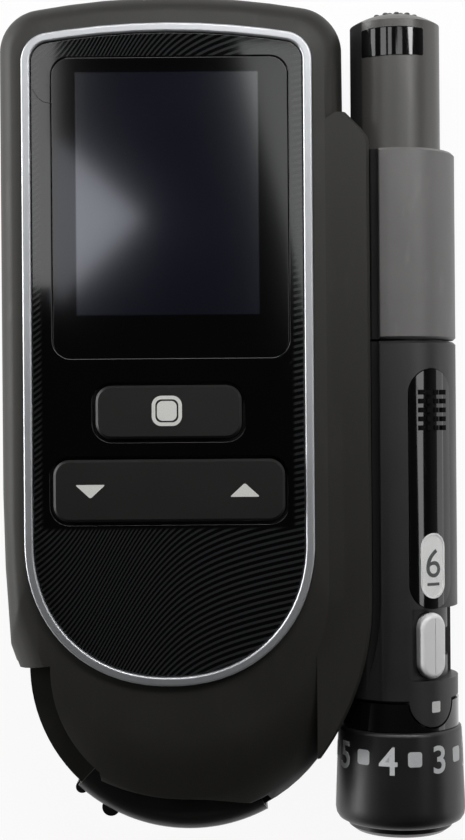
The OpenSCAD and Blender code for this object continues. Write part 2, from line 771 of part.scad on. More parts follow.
module case_outline(inset) {
    translate([mid_x, (case_upper + case_low) / 2])
        rounded(case_w - 2 * inset, case_upper - case_low - 2 * inset, 3 - inset);
    translate(end_c) circle(case_end_r - inset);
}

module cassette_case() color("#d8d5cc") difference() {
    union() {
        difference() {
            slab(case_z, case_top) case_outline(0);
            slab(case_z + case_wall, case_top - case_wall) case_outline(case_wall);
        }
        translate([mid_x, supply_y, 0]) slab(case_z + 0.5, case_top - 0.5) circle(post_r);
        translate([mid_x, take_up_y, 0]) slab(case_z + 0.5, reel_z + 2.5) circle(post_r);
    }
    translate([mid_x, take_up_y, 0]) slab(case_top - case_wall - 0.1, case_top + 1) circle(3.2);
    translate([end_x - 2.6, end_y - case_end_r - 1, tape_z - 2.6]) cube([5.2, 3, 5.2]);
}

module reel(pack_r) {
    for (z = [reel_z, reel_top - 0.8]) tube(reel_r, post_r + running, z, z + 0.8);
    tube(pack_r, post_r + running, reel_z + 0.7, reel_top - 0.7);
}

module supply_reel() color("#e4e2da") translate([mid_x, supply_y, 0]) reel(reel_r - 1);

module take_up_reel() color("#e4e2da") translate([mid_x, take_up_y, 0]) difference() {
    reel(5.5);
    slab(reel_z + 3, reel_top + 1) circle(spindle_r);
}

module drive_spindle() color("#c7c9cc") translate([mid_x, take_up_y, 0]) {
    slab(reel_z + 3.2, board_z - 0.15) circle(spindle_r);
    slab(case_top - case_wall + 0.05, case_top + 0.05) circle(2.8);
}

module drive_unit() color("#3f4246") {
    arm_z = case_top + 0.15;
    translate([mid_x - 9, case_upper + 0.5, wall + 0.3])
        cube([20, partition_y - case_upper - 0.8, arm_z - wall]);
    difference() {
        slab(arm_z, board_z - 0.2) translate([mid_x - 4, take_up_y - 3])
            square([8, case_upper - take_up_y + 4]);
        translate([mid_x, take_up_y, 0]) slab(arm_z - 1, board_z + 1) circle(spindle_r + 0.3);
    }
}

module tape_run(a, b) translate([a[0], a[1], tape_z - tape_w / 2])
    rotate([0, 0, atan2(b[1] - a[1], b[0] - a[0])]) translate([0, -tape_t / 2, 0])
        cube([norm(b - a), tape_t, tape_w]);

module test_tape() color("#efeee9") {
    left = mid_x - reel_r - 0.6;
    right = mid_x + reel_r + 0.4;
    mouth_y = end_y - case_end_r + 0.2;
    tape_run([left, take_up_y], [left, supply_y + 1.5]);
    tape_run([left, supply_y + 1.5], [end_x - 1.9, mouth_y]);
    tape_run([end_x - 1.9, mouth_y], [end_x - 1.9, tip_y + 1]);
    tape_run([end_x + 1.9, tip_y + 1], [end_x + 1.9, mouth_y]);
    tape_run([end_x + 1.9, mouth_y], [right, supply_y - 3]);
    tape_run([right, supply_y - 3], [right, supply_y + 1]);
}

module tape_tip() color("#d8d5cc") {
    slab(tape_z - 2.4, tape_z + 2.4) hull() {
        translate([end_x - 1.6, end_y - case_end_r + 0.6]) square([3.2, 0.5]);
        translate([end_x - 0.6, tip_y]) square([1.2, 0.4]);
    }
}

// Thumb nubs on the tip cover, as [angle from its end, radius]
NUBS = [[1.6, 0.9], [14, 1.3]];

module tip_cover() color("#2b2a27") translate([end_x, end_y, 0]) {
    in_r = cover_r - cover_lip;
    lip_low = cover_lip_z - cover_lip_t;
    rotate([0, 0, cover_start]) rotate_extrude(angle = cover_span) polygon([
        [in_r, lip_low], [in_r, cover_lip_z], [cover_r - 2.4, cover_lip_z],
        [cover_r - 1.2, cover_lip_z - 0.35], [cover_r - 0.4, cover_lip_z - 1.1],
        [cover_r, cover_lip_z - 2.2], [cover_r, cover_low + 2.2],
        [cover_r - 0.4, cover_low + 1.1], [cover_r - 1.2, cover_low + 0.3], [cover_r - 2.1, cover_low],
        [rear_lip_in, cover_low], [rear_lip_in, cover_low + 1.1], [cover_r - cover_t, cover_low + 1.1],
        [cover_r - cover_t, lip_low]]);
    slab(cover_low + 3, cover_lip_z - 2.6) difference() {
        for (nub = NUBS) rotate([0, 0, cover_start + nub[0]]) translate([cover_r - 0.1, 0]) circle(nub[1]);
        circle(cover_r - cover_t / 2);
    }
}

// Lancing device

// What the meter's flanges and side take away from the device's round section
module flange_notch() {
    rib_w = flange_x - lip_w - slip - lancer_flat;
    rear_rib_w = rib_w - flange_reach + rear_flange_reach;
    rib_len = lip_to - lip_from + 8;
    difference() {
        slab(flange_under - lip_h - slip, lancer_z + 20) flange_outline(flange_x + 0.25);
        translate([lancer_flat - 1, lip_from - 1, flange_under - 3]) cube([rib_w + 1, rib_len, 3 - slip]);
    }
    slab(flange_under + 0.7, lancer_z + 20) flange_outline(flange_x + flange_gap);
    difference() {
        slab(lancer_z - 20, rear_flange_top + lip_h + slip) flange_outline(rear_flange_x + 0.25);
        translate([lancer_flat - 1, lip_from - 1, rear_flange_top + slip]) cube([rear_rib_w + 1, rib_len, 3]);
    }
    slab(lancer_z - 20, rear_flange_z + 0.9) flange_outline(rear_flange_x + flange_gap / 2);
    slab(-10, lancer_z + 20) {
        translate([flange_root, end_y]) square([lancer_flat - flange_root, top_y - end_y]);
        translate(end_c) circle(lancer_flat - end_x, $fn = 200);
    }
}

// The shell of the device between two heights, with its ends rounded by a small bevel
module lancer_shell(low, high, r) {
    b = 0.35;
    rotate_extrude() polygon([[0, low], [r - b, low], [r, low + b], [r, high - b], [r - b, high], [0, high]]);
}

module lancer_sleeve() color("#5f5e5d") difference() {
    lancer_frame() difference() {
        lancer_shell(sleeve_low, sleeve_top, lancer_r);
        translate([0, 0, sleeve_low - 1]) cylinder(r = sleeve_bore, h = sleeve_len + 2);
    }
    flange_notch();
}

module lever_recess(from, to, r_in, low, high) facing(-90) sector(r_in, lancer_r + 2, low, high, from, to);

module lancer_barrel() color("#57565a") difference() {
    union() {
        difference() {
            lancer_frame() lancer_shell(barrel_low, barrel_top, lancer_r);
            flange_notch();
        }
        lancer_frame() {
            tube(sleeve_bore - 0.05, sleeve_bore - 0.55, barrel_top - 1, spigot_top);
            tube(neck_r, barrel_bore, tab_low - 0.2, barrel_low + 0.5);
            intersection() {
                tube(lancer_r, barrel_bore, tab_low - 1, barrel_low + 1);
                facing(face_angle) rotate([90, 0, 0]) slab(0, lancer_r + 2) translate([0, barrel_low + 1])
                    pill(tab_w, 2 * (barrel_low + 1 - tab_low));
            }
        }
    }
    lancer_frame() {
        slab(tab_low - 1, spring_low - 1) circle(barrel_bore);
        slab(spring_low - 2, spring_low + 1) circle(shaft_r + slip);
        slab(spring_low, spigot_top + 1) circle(sleeve_bore - 0.55);
        lever_recess(face_angle - 22, face_angle + lever_swing + 22, lever_floor_r, lever_bottom, lever_top);
        lever_recess(face_angle - 14, face_angle + lever_swing + 14, barrel_bore - 1,
            lever_y - 2, lever_y + 2);
        insert_pocket(seat, insert_low_r);
        number_opening(seat, barrel_bore - 1);
    }
}

module insert_pocket(grow, r_in) difference() {
    facing(face_angle) rotate([90, 0, 0]) slab(0, lancer_r + 2) translate([0, insert_y])
        pill(insert_w + 2 * grow, insert_len + 2 * grow);
    translate([0, 0, insert_y - insert_len]) cylinder(r = r_in, h = 2 * insert_len);
}

module number_opening(grow, r_in) intersection() {
    facing(face_angle) rotate([90, 0, 0]) slab(0, lancer_r + 2) translate([0, number_y])
        pill(number_size[0] + 2 * grow, number_size[1] + 2 * grow);
    tube(lancer_r + 2, r_in, number_y - 2 * wheel_half, number_y + 2 * wheel_half);
}

module grip_insert() color("#202022") lancer_frame() difference() {
    union() {
        intersection() {
            insert_pocket(0, insert_low_r + 0.05);
            translate([0, 0, insert_y - insert_len]) cylinder(r = insert_high_r, h = 2 * insert_len);
        }
        facing(face_angle) for (i = [-1.5:1:1.5], k = [0:4])
            translate([i * grip_pitch, -insert_high_r + 0.25, grip_y - k * grip_pitch])
                cube([0.7, 0.8, 0.7], center = true);
    }
    number_opening(seat, barrel_bore - 1);
}

module number_window() color("#dfe0e2") lancer_frame() intersection() {
    number_opening(0, insert_low_r - 0.6);
    translate([0, 0, number_y - 2 * wheel_half]) cylinder(r = insert_high_r - 0.1, h = 4 * wheel_half);
}

module number_wheel() color("#f2f2f0") lancer_frame() {
    tube(wheel_r, wheel_r - 1, number_y - wheel_half, number_y + wheel_half);
    tube(wheel_r, shaft_r, number_y - wheel_half, number_y - wheel_half + 1);
}

module drum_shaft() color("#d9d9d6") lancer_frame() slab(drum_low, number_y + wheel_half - 2) circle(shaft_r);

module at_lancets() for (k = [0:lancets - 1])
    rotate([0, 0, k * lever_swing]) translate([lancet_ring_r, 0, 0]) children();

module lancet_drum() color("#e9e6df") lancer_frame() difference() {
    slab(drum_low, barrel_low - 1) circle(drum_r);
    slab(drum_low - 1, barrel_low) circle(shaft_r);
    at_lancets() slab(drum_low - 1, barrel_low) circle(lancet_r);
}

module lancet_needles() color("#a9acb0") lancer_frame() at_lancets() {
    slab(drum_low + 6, barrel_low - 3) circle(lancet_r);
    slab(drum_low + 2, drum_low + 6.1) circle(0.25);
}

module advance_lever() color("#d0d0d0") lancer_frame() {
    tube(barrel_bore - slip, 4.6, lever_y - 3.5, lever_y + 3.5);
    intersection() {
        tube(lever_top_r, 5, lever_y - 1.6, lever_y + 1.6);
        facing(face_angle) translate([-1.2, -lancer_r - 2, lever_y - 1.6]) cube([2.4, lancer_r - 3, 3.2]);
    }
    intersection() {
        tube(lever_top_r, lever_floor_r + 0.12, lever_bottom, lever_top);
        facing(face_angle) rotate([90, 0, 0]) slab(0, lancer_r + 2) translate([0, lever_y])
            pill(lever_w, lever_len);
    }
}

module plunger_button() color("#1e1e20") lancer_frame() {
    dome = 1.9;
    sphere_r = (button_r * button_r + dome * dome) / (2 * dome);
    difference() {
        union() {
            translate([0, 0, skirt_low]) cylinder(r = button_r, h = button_tip - dome - skirt_low);
            intersection() {
                translate([0, 0, button_tip - sphere_r]) sphere(sphere_r);
                translate([0, 0, button_tip - dome - 0.01]) cylinder(r = button_r, h = dome + 1);
            }
        }
        translate([0, 0, skirt_low - 1]) cylinder(r = button_r - 1, h = button_tip - 6 - skirt_low);
        band_form(button_r + 1, band_half, seat);
    }
}

module band_form(r_out, half, grow) facing(-90) sector(button_r - 0.6 - grow, r_out,
    band_high - band_len - grow, band_high + grow, band_angle - half, band_angle + half);

module button_band() color("#0b0b0c") lancer_frame() band_form(button_r + 0.05, band_half - 0.7, 0);

module plunger_rod() color("#c7c9cc") lancer_frame() {
    slab(number_y + 2 * wheel_half, button_tip - 7) circle(shaft_r);
    slab(spring_high + 0.05, spring_high + 1.2) circle(spring_r + spring_wire);
    slab(button_tip - 8, button_tip - 7) circle(3);
}

// The spring round the plunger's rod: one tube that climbs steadily
module drive_spring() color("#a9acb0") lancer_frame() {
    rise = spring_high - spring_low - 2 * spring_wire;
    steps = spring_turns * 12;
    loft([for (k = [0:steps])
        let (a = k * 30, out = [cos(a), sin(a), 0], z = spring_low + spring_wire + rise * k / steps)
            [for (j = [0:60:300])
                (spring_r + spring_wire * cos(j)) * out + [0, 0, z + spring_wire * sin(j)]]]);
}

// Cap, nose and depth dial

module cap_collar() color("#2a292c") difference() {
    lancer_frame() difference() {
        tube(collar_r, neck_r + 0.1, dial_upper + seat, barrel_low - seat);
        facing(face_angle) rotate([90, 0, 0]) slab(0, lancer_r + 2) translate([0, barrel_low + 1])
            pill(tab_w + 0.5, 2 * (barrel_low + 1 - tab_low) + 0.5);
    }
    slab(-10, lancer_z + 20) translate(end_c) circle(lancer_flat - end_x, $fn = 200);
}

module cap_nose() color("#5a5b5f") lancer_frame() difference() {
    rotate_extrude() polygon([[0, nose_low], [nose_r - 0.8, nose_low], [nose_r, nose_low + 0.6],
        [nose_r, dial_lower + 0.3], [tube_r, dial_lower + 0.3], [tube_r, dial_upper], [0, dial_upper]]);
    slab(drum_low - 0.5, dial_upper + 1) circle(drum_bore);
    slab(nose_low - 1, drum_low) circle(1.3);
}

module depth_dial() color("#2d2c2f") lancer_frame() {
    bore = nose_r + slip - 0.05;
    rotate_extrude() polygon([[bore, dial_lower], [dial_r - 1.6, dial_lower],
        [dial_r - 0.5, dial_lower + 0.35], [dial_r, dial_lower + 1.2],
        [dial_r - 0.02, dial_lower + 2.4], [dial_top_r, dial_upper - 0.3],
        [dial_top_r - 0.3, dial_upper], [bore, dial_upper]]);
}

front_housing();
rear_housing();
trim_ring();
faceplate();
display_window();
display_panel();
circuit_board();
key_mat();
test_key();
rocker_key();
slide_catch();
cassette_cover();
cassette_cover_pin();
battery_door();
battery_upper();
battery_lower();
battery_contacts();
usb_port();
housing_screws();
cassette_case();
supply_reel();
take_up_reel();
drive_spindle();
drive_unit();
test_tape();
tape_tip();
tip_cover();
lancer_sleeve();
lancer_barrel();
grip_insert();
number_window();
number_wheel();
drum_shaft();
lancet_drum();
lancet_needles();
advance_lever();
plunger_button();
button_band();
plunger_rod();
drive_spring();
cap_collar();
cap_nose();
depth_dial();
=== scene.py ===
"""Looks for a handheld blood glucose meter that carries a lancing device along its right side.

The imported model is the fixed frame. Each sub-assembly is a class that shapes its finer pieces with bmesh
operators and dresses the rest. Lengths in the classes are millimetres on the frame's own axes: X towards the
lancing device, Y towards the display end, Z out of the front face.
"""

import json
import logging
import math
from collections.abc import Callable, Sequence
from dataclasses import dataclass, field
from enum import Enum

import bmesh
import bpy
from mathutils import Matrix, Vector

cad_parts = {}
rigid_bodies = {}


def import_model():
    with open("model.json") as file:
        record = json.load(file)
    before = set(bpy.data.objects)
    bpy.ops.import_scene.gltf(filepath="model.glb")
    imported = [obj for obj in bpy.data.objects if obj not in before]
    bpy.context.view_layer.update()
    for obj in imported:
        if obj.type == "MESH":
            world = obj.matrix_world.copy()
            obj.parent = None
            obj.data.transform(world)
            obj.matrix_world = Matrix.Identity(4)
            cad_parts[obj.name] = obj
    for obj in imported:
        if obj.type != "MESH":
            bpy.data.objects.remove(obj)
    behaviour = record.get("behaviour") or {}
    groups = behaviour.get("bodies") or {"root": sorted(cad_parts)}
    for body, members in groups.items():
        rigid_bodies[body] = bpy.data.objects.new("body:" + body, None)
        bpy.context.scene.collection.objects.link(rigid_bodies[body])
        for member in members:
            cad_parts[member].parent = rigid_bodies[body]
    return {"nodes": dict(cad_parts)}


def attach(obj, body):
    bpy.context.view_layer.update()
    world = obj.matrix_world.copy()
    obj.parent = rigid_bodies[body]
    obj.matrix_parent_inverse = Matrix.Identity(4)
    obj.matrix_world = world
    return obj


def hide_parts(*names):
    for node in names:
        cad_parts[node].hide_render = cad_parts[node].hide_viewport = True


for stray in list(bpy.data.objects):
    bpy.data.objects.remove(stray)
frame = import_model()

LOG = logging.getLogger("meter")
MM = 0.001
Colour = tuple[float, float, float]
Point = tuple[float, float]


class Body(str, Enum):
    """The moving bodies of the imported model."""

    METER = "meter"
    TEST_KEY = "test_key"
    ROCKER_KEY = "rocker_key"
    CATCH = "slide_catch"
    COVER = "cassette_cover"
    DOOR = "battery_door"
    TIP = "tip_cover"
    LANCER = "lancing_device"
    PLUNGER = "plunger"
    LEVER = "advance_lever"
    DRUM = "drum"
    CAP = "cap"
    DIAL = "depth_dial"


# Shader arithmetic


class Expr:
    """A number that varies over a surface. Arithmetic on it adds Math nodes."""

    def __init__(self, shader: "Shader", socket: bpy.types.NodeSocket) -> None:
        """Wraps a socket.

        Args:
            shader: The node tree that the socket is in.
            socket: The output that holds the number.
        """
        self.shader = shader
        self.socket = socket

    def __add__(self, other: "Expr | float") -> "Expr":
        """Sum."""
        return self.shader.math("ADD", self, other)

    def __radd__(self, other: float) -> "Expr":
        """Sum, with the number first."""
        return self.shader.math("ADD", other, self)

    def __sub__(self, other: "Expr | float") -> "Expr":
        """Difference."""
        return self.shader.math("SUBTRACT", self, other)

    def __rsub__(self, other: float) -> "Expr":
        """Difference, with the number first."""
        return self.shader.math("SUBTRACT", other, self)

    def __mul__(self, other: "Expr | float") -> "Expr":
        """Product."""
        return self.shader.math("MULTIPLY", self, other)

    def __rmul__(self, other: float) -> "Expr":
        """Product, with the number first."""
        return self.shader.math("MULTIPLY", other, self)

    def __truediv__(self, other: "Expr | float") -> "Expr":
        """Quotient."""
        return self.shader.math("DIVIDE", self, other)

    def __abs__(self) -> "Expr":
        """Size without sign."""
        return self.shader.math("ABSOLUTE", self)

    def at_least(self, low: "Expr | float") -> "Expr":
        """The larger of this and low."""
        return self.shader.math("MAXIMUM", self, low)

    def step(self, low: float, high: float) -> "Expr":
        """A smooth step.

        Args:
            low: Where the step is 0.
            high: Where the step is 1.

        Returns:
            A number from 0 to 1.
        """
        node = self.shader.node(
            "ShaderNodeMapRange",
            {"interpolation_type": "SMOOTHSTEP"},
            {"Value": self, "From Min": low, "From Max": high},
        )
        return Expr(self.shader, node.outputs[0])


class Shader:
    """One node tree, with a single method that makes every node."""

    def __init__(self, tree: bpy.types.NodeTree) -> None:
        """Empties a tree.

        Args:
            tree: The node tree of a material or of the world.
        """
        self.tree = tree
        tree.nodes.clear()

    def node(
        self,
        kind: str,
        settings: dict[str, object] | None = None,
        inputs: dict[str | int, object] | None = None,
    ) -> bpy.types.Node:
        """Makes one node.

        Args:
            kind: The node's type.
            settings: Its own settings, set first.
            inputs: Values or links of its sockets, by name or number.

        Returns:
            The node.
        """
        made = self.tree.nodes.new(kind)
        for key, value in (settings or {}).items():
            setattr(made, key, value)
        for key, value in (inputs or {}).items():
            if isinstance(value, Expr):
                value = value.socket
            if isinstance(value, bpy.types.NodeSocket):
                self.tree.links.new(value, made.inputs[key])
            else:
                made.inputs[key].default_value = value
        return made

    def math(self, operation: str, *values: "Expr | float") -> Expr:
        """A Math node.

        Args:
            operation: The node's operation.
            *values: Its inputs in order.

        Returns:
            Its result.
        """
        made = self.node("ShaderNodeMath", {"operation": operation}, dict(enumerate(values)))
        return Expr(self, made.outputs[0])

    def place(self) -> bpy.types.NodeSocket:
        """The surface point in millimetres on the frame's axes."""
        where = self.node("ShaderNodeTexCoord").outputs["Object"]
        scaled = self.node("ShaderNodeVectorMath", {"operation": "SCALE"}, {0: where, "Scale": 1 / MM})
        return scaled.outputs[0]

    def axes(self) -> tuple[Expr, Expr, Expr]:
        """The three coordinates of the surface point, in millimetres."""
        split = self.node("ShaderNodeSeparateXYZ", inputs={0: self.place()})
        return tuple(Expr(self, out) for out in split.outputs)

    def noise(self, size: float, detail: float = 2.0, stretch: Colour = (1, 1, 1)) -> Expr:
        """Noise about 0.5.

        Args:
            size: Size of the blotches in millimetres.
            detail: Octaves of finer noise.
            stretch: Factors on the three axes, below 1 to draw the noise out.

        Returns:
            The noise.
        """
        drawn = self.node("ShaderNodeVectorMath", {"operation": "MULTIPLY"}, {0: self.place(), 1: stretch})
        made = self.node(
            "ShaderNodeTexNoise", inputs={"Vector": drawn.outputs[0], "Scale": 1 / size, "Detail": detail}
        )
        return Expr(self, made.outputs[0])

    def blend(self, mask: "Expr | float", below: object, above: object) -> bpy.types.NodeSocket:
        """A mix of two colours.

        Args:
            mask: 0 for the first colour, 1 for the second.
            below: The first colour, as numbers or a socket.
            above: The second colour.

        Returns:
            The mixed colour.
        """
        pair = [c if isinstance(c, bpy.types.NodeSocket) else (*c, 1.0) for c in (below, above)]
        made = self.node("ShaderNodeMix", {"data_type": "RGBA"}, {0: mask, 6: pair[0], 7: pair[1]})
        return made.outputs[2]

    def bump(self, height: Expr, depth: float) -> bpy.types.NodeSocket:
        """A normal for fine relief.

        Args:
            height: The relief, from 0 to 1.
            depth: Its depth in millimetres.

        Returns:
            The normal.
        """
        return self.node("ShaderNodeBump", inputs={"Height": height, "Distance": depth * MM}).outputs[0]

    def surface(self, **inputs: object) -> None:
        """Ends the tree in one Principled shader.

        Args:
            **inputs: The shader's sockets, with _ for the spaces in their names.
        """
        named = {}
        for key, value in inputs.items():
            words = " ".join(w if w == "IOR" else w.capitalize() for w in key.split("_"))
            named[words] = (*value, 1.0) if isinstance(value, tuple) else value
        shader = self.node("ShaderNodeBsdfPrincipled", inputs=named)
        self.node("ShaderNodeOutputMaterial", inputs={"Surface": shader.outputs[0]})


def shade(colour: Colour, factor: float) -> Colour:
    """A colour made lighter or darker by a factor."""
    return tuple(min(1.0, c * factor) for c in colour)


# Finishes


@dataclass(frozen=True)
class Finish:
    """What every finish shares: its name and the record's slot that it stands for; the slot is not used in
    this script.
    """

    name: str
    slot: str

    def draw(self, shader: Shader) -> None:
        """Draws the finish's nodes."""
        raise NotImplementedError


@dataclass(frozen=True)
class Moulded(Finish):
    """Moulded plastic or rubber, with the fine grain of an eroded mould and slow changes of tone."""

    colour: Colour
    roughness: float
    grain: float = 0.16
    depth: float = 0.006
    drift: float = 0.18
    specular: float = 0.5
    # X in millimetres left of which the colour is painted near black: a painted shade for the deep gap beside
    # the flange.
    painted_shade_left: float | None = None

    def draw(self, shader: Shader) -> None:
        """Draws the grain, the drift of tone, faint handling marks and, if any, a painted shade over the left
        side.
        """
        slow = shader.noise(9.0, 3.0)
        grain = shader.noise(self.grain, 2.0)
        marks = shader.noise(2.2, 4.0, (1.0, 0.25, 1.0)).step(0.56, 0.74)
        tone = shader.blend(slow, shade(self.colour, 1 - self.drift), shade(self.colour, 1 + self.drift))
        tone = shader.blend(marks * 0.35, tone, shade(self.colour, 1.5))
        roughness = self.roughness + (slow - 0.5) * 0.12 - marks * 0.05
        # Painted shade: left of the given X the colour falls to near black and the roughness rises, standing
        # in for the shadow of the deep gap beside the housing's flange.
        if self.painted_shade_left is not None:
            shadow = shader.axes()[0].step(self.painted_shade_left + 0.4, self.painted_shade_left)
            tone = shader.blend(shadow, tone, shade(self.colour, 0.04))
            roughness = roughness + shadow * 0.5
        shader.surface(
            base_color=tone,
            roughness=roughness,
            specular_IOR_level=self.specular,
            normal=shader.bump(grain, self.depth),
        )


@dataclass(frozen=True)
class Satin(Finish):
    """Satin metal or metal paint with fine lines drawn along one axis."""

    colour: Colour
    roughness: float
    metallic: float = 1.0
    stretch: Colour = (1.0, 0.04, 1.0)

    def draw(self, shader: Shader) -> None:
        """Draws the fine lines and a little tarnish."""
        lines = shader.noise(0.12, 2.0, self.stretch)
        cloud = shader.noise(5.0, 3.0)
        shader.surface(
            base_color=shader.blend(cloud, shade(self.colour, 0.9), shade(self.colour, 1.08)),
            metallic=self.metallic,
            roughness=self.roughness + (lines - 0.5) * 0.14,
            normal=shader.bump(lines, 0.002),
        )


@dataclass(frozen=True)
class Panel(Finish):
    """The glossy front panel: curved lines printed under a clear face, left black round screen and keys."""

    black: Colour = (0.0016, 0.0016, 0.0018)
    line: Colour = (0.020, 0.021, 0.022)
    pitch: float = 0.88
    tilt: float = 0.2
    sweep: float = 13.95
    bend_x: float = -17.0
    bend_w: float = 9.0
    clear_at: Point = (-9.0, 17.1)
    clear_half: Point = (17.1, 32.4)

    def draw(self, shader: Shader) -> None:
        """Draws the lines from one curve repeated along Y, masked outside the clear field."""
        x, y, _ = shader.axes()
        curve = y - x * self.tilt - self.sweep * shader.math("TANH", (x - self.bend_x) / self.bend_w)
        wave = shader.math("COSINE", curve * (2 * math.pi / self.pitch))
        across = (abs(x - self.clear_at[0]) - self.clear_half[0]).at_least(0.0)
        along = (abs(y - self.clear_at[1]) - self.clear_half[1]).at_least(0.0)
        outside = shader.math("SQRT", across * across + along * along).step(0.2, 0.8)
        lines = wave.step(-0.35, 0.75) * outside
        dust = shader.noise(0.7, 5.0).step(0.7, 0.78)
        shader.surface(
            base_color=shader.blend(lines, self.black, self.line),
            roughness=0.055 + dust * 0.1 + lines * 0.03,
            coat_weight=0.2,
            coat_roughness=0.03,
            normal=shader.bump(shader.noise(14.0, 1.0), 0.006),
        )


@dataclass(frozen=True)
class Screen(Finish):
    """The display window: clear face over a black mask and a dark blue panel that is switched off."""

    centre: Point = (-8.85, 30.94)
    half: Point = (12.72, 16.9)
    mask: Colour = (0.0018, 0.0018, 0.0020)
    panel: Colour = (0.0062, 0.0068, 0.0120)

    def draw(self, shader: Shader) -> None:
        """Draws the panel's field, its soft change of tone and a second reflecting layer over it."""
        x, y, _ = shader.axes()
        field_x = (abs(x - self.centre[0]) - self.half[0]).step(0.12, -0.12)
        field_y = (abs(y - self.centre[1]) - self.half[1]).step(0.12, -0.12)
        inside = field_x * field_y
        cloud = shader.noise(16.0, 1.0)
        dust = shader.noise(0.5, 5.0).step(0.72, 0.8)
        tone = shader.blend(cloud, shade(self.panel, 0.7), shade(self.panel, 1.35))
        shader.surface(
            base_color=shader.blend(inside, self.mask, tone),
            roughness=0.075 + dust * 0.1,
            coat_weight=inside * 0.9,
            coat_roughness=0.1,
            coat_IOR=1.7,
        )


@dataclass(frozen=True)
class Gloss(Finish):
    """Polished plastic with faint flow lines and fine rub marks."""

    colour: Colour
    roughness: float = 0.07
    coat: float = 0.4

    def draw(self, shader: Shader) -> None:
        """Draws the flow lines and rub marks."""
        flow = shader.noise(7.0, 2.0, (1.0, 0.3, 1.0))
        rub = shader.noise(0.4, 4.0, (1.0, 0.2, 1.0)).step(0.6, 0.8)
        shader.surface(
            base_color=shader.blend(flow, shade(self.colour, 0.85), shade(self.colour, 1.15)),
            roughness=self.roughness + rub * 0.08,
            coat_weight=self.coat,
            coat_roughness=0.04,
            normal=shader.bump(flow, 0.01),
        )


@dataclass(frozen=True)
class Lens(Finish):
    """Clear plastic that lets the number under it show."""

    colour: Colour = (0.86, 0.87, 0.88)

    def draw(self, shader: Shader) -> None:
        """Draws a clear face with faint rub marks."""
        rub = shader.noise(0.5, 4.0).step(0.6, 0.8)
        shader.surface(base_color=self.colour, alpha=0.05 + rub * 0.05, roughness=0.04 + rub * 0.1)


@dataclass(frozen=True)
class Ink(Finish):
    """Printed ink, a little uneven."""

    colour: Colour

    def draw(self, shader: Shader) -> None:
        """Draws the uneven ink."""
        speck = shader.noise(0.2, 3.0)
        shader.surface(
            base_color=shader.blend(speck, shade(self.colour, 0.86), shade(self.colour, 1.1)),
            roughness=0.42 + speck * 0.15,
        )


@dataclass(frozen=True)
class Circuit(Finish):
    """Green solder mask over copper tracks."""

    def draw(self, shader: Shader) -> None:
        """Draws tracks as a stepped grid under the mask."""
        x, y, _ = shader.axes()
        weave = shader.math("SINE", x * 2.6 + shader.math("SINE", y * 0.7) * 2.0)
        tracks = weave.step(0.55, 0.7)
        pads = shader.noise(1.1, 0.0).step(0.68, 0.7)
        mask = shader.blend(tracks, (0.010, 0.075, 0.028), (0.028, 0.15, 0.05))
        shader.surface(
            base_color=shader.blend(pads, mask, (0.62, 0.52, 0.30)),
            metallic=pads,
            roughness=0.34 - pads * 0.1,
            coat_weight=0.5,
            normal=shader.bump(tracks, 0.02),
        )


@dataclass(frozen=True)
class CellWrap(Finish):
    """The cell's printed wrap: two plain bands and bare steel ends."""

    centre_x: float = -8.45
    half: float = 20.6

    def draw(self, shader: Shader) -> None:
        """Draws the bands across the cell and the bare ends."""
        x, _, _ = shader.axes()
        away = x - self.centre_x
        ends = abs(away).step(self.half, self.half + 0.15)
        band = away.step(7.9, 8.1)
        wrap = shader.blend(band, (0.012, 0.012, 0.013), (0.48, 0.25, 0.05))
        shader.surface(
            base_color=shader.blend(ends, wrap, (0.55, 0.55, 0.56)),
            metallic=0.25 + ends * 0.75,
            roughness=0.3 + shader.noise(1.0, 3.0) * 0.1,
        )


SOFT = Moulded("soft_touch", "soft_touch_dark", (0.0140, 0.0132, 0.0112), 0.58, specular=0.36)
BACK = Moulded("soft_touch_back", "soft_touch_back", (0.0125, 0.0120, 0.0105), 0.52)
TIP = Moulded("tip_satin", "dial_black", (0.0085, 0.0080, 0.0075), 0.40)
SILVER = Satin("silver_trim", "silver_trim", (0.46, 0.47, 0.49), 0.38, 0.72, (1.0, 1.0, 1.0))
PANEL = Panel("front_panel", "gloss_black")
SCREEN = Screen("display_glass", "window_glass")
KEY = Moulded(
    "key_rubber", "key_black", (0.0050, 0.0050, 0.0046), 0.50, grain=0.12, depth=0.004, specular=0.34
)
ICON = Ink("icon_print", "key_black", (0.72, 0.72, 0.69))
# Sleeve, barrel and button carry a painted shade over their left sides, for the shadowed gap beside the
# housing's flange.
SLEEVE = Moulded(
    "sleeve_satin", "sleeve_grey", (0.125, 0.121, 0.120), 0.44, grain=0.22, depth=0.008, painted_shade_left=20.6
)
BARREL = Moulded(
    "barrel_satin", "barrel_grey", (0.0165, 0.0158, 0.0165), 0.42, grain=0.2, depth=0.008, painted_shade_left=20.6
)
BUTTON = Moulded(
    "button_satin", "dial_black", (0.056, 0.054, 0.050), 0.36, grain=0.2, depth=0.004, painted_shade_left=18.7
)
BLACK = Gloss("black_gloss", "gloss_black", (0.0035, 0.0035, 0.0040))
COLLAR = Gloss("collar_gloss", "dial_black", (0.0040, 0.0038, 0.0040), 0.12)
DIAL = Moulded("dial_satin", "dial_black", (0.0100, 0.0095, 0.0100), 0.38, grain=0.18)
NOSE = Moulded("nose_satin", "nose_grey", (0.016, 0.015, 0.016), 0.32)
LEVER = Moulded("lever_white", "lever_white", (0.80, 0.80, 0.80), 0.36, drift=0.03, depth=0.002)
NUMBER = Moulded("number_white", "number_white", (0.88, 0.88, 0.87), 0.45, drift=0.02, depth=0.001)
MARK = Ink("dial_print", "dial_black", (0.58, 0.59, 0.60))
WHITE_MARK = Ink("index_print", "barrel_grey", (0.66, 0.66, 0.65))
DIGIT = Ink("digit_print", "number_white", (0.012, 0.012, 0.014))
LENS = Lens("number_lens", "clear_lens")
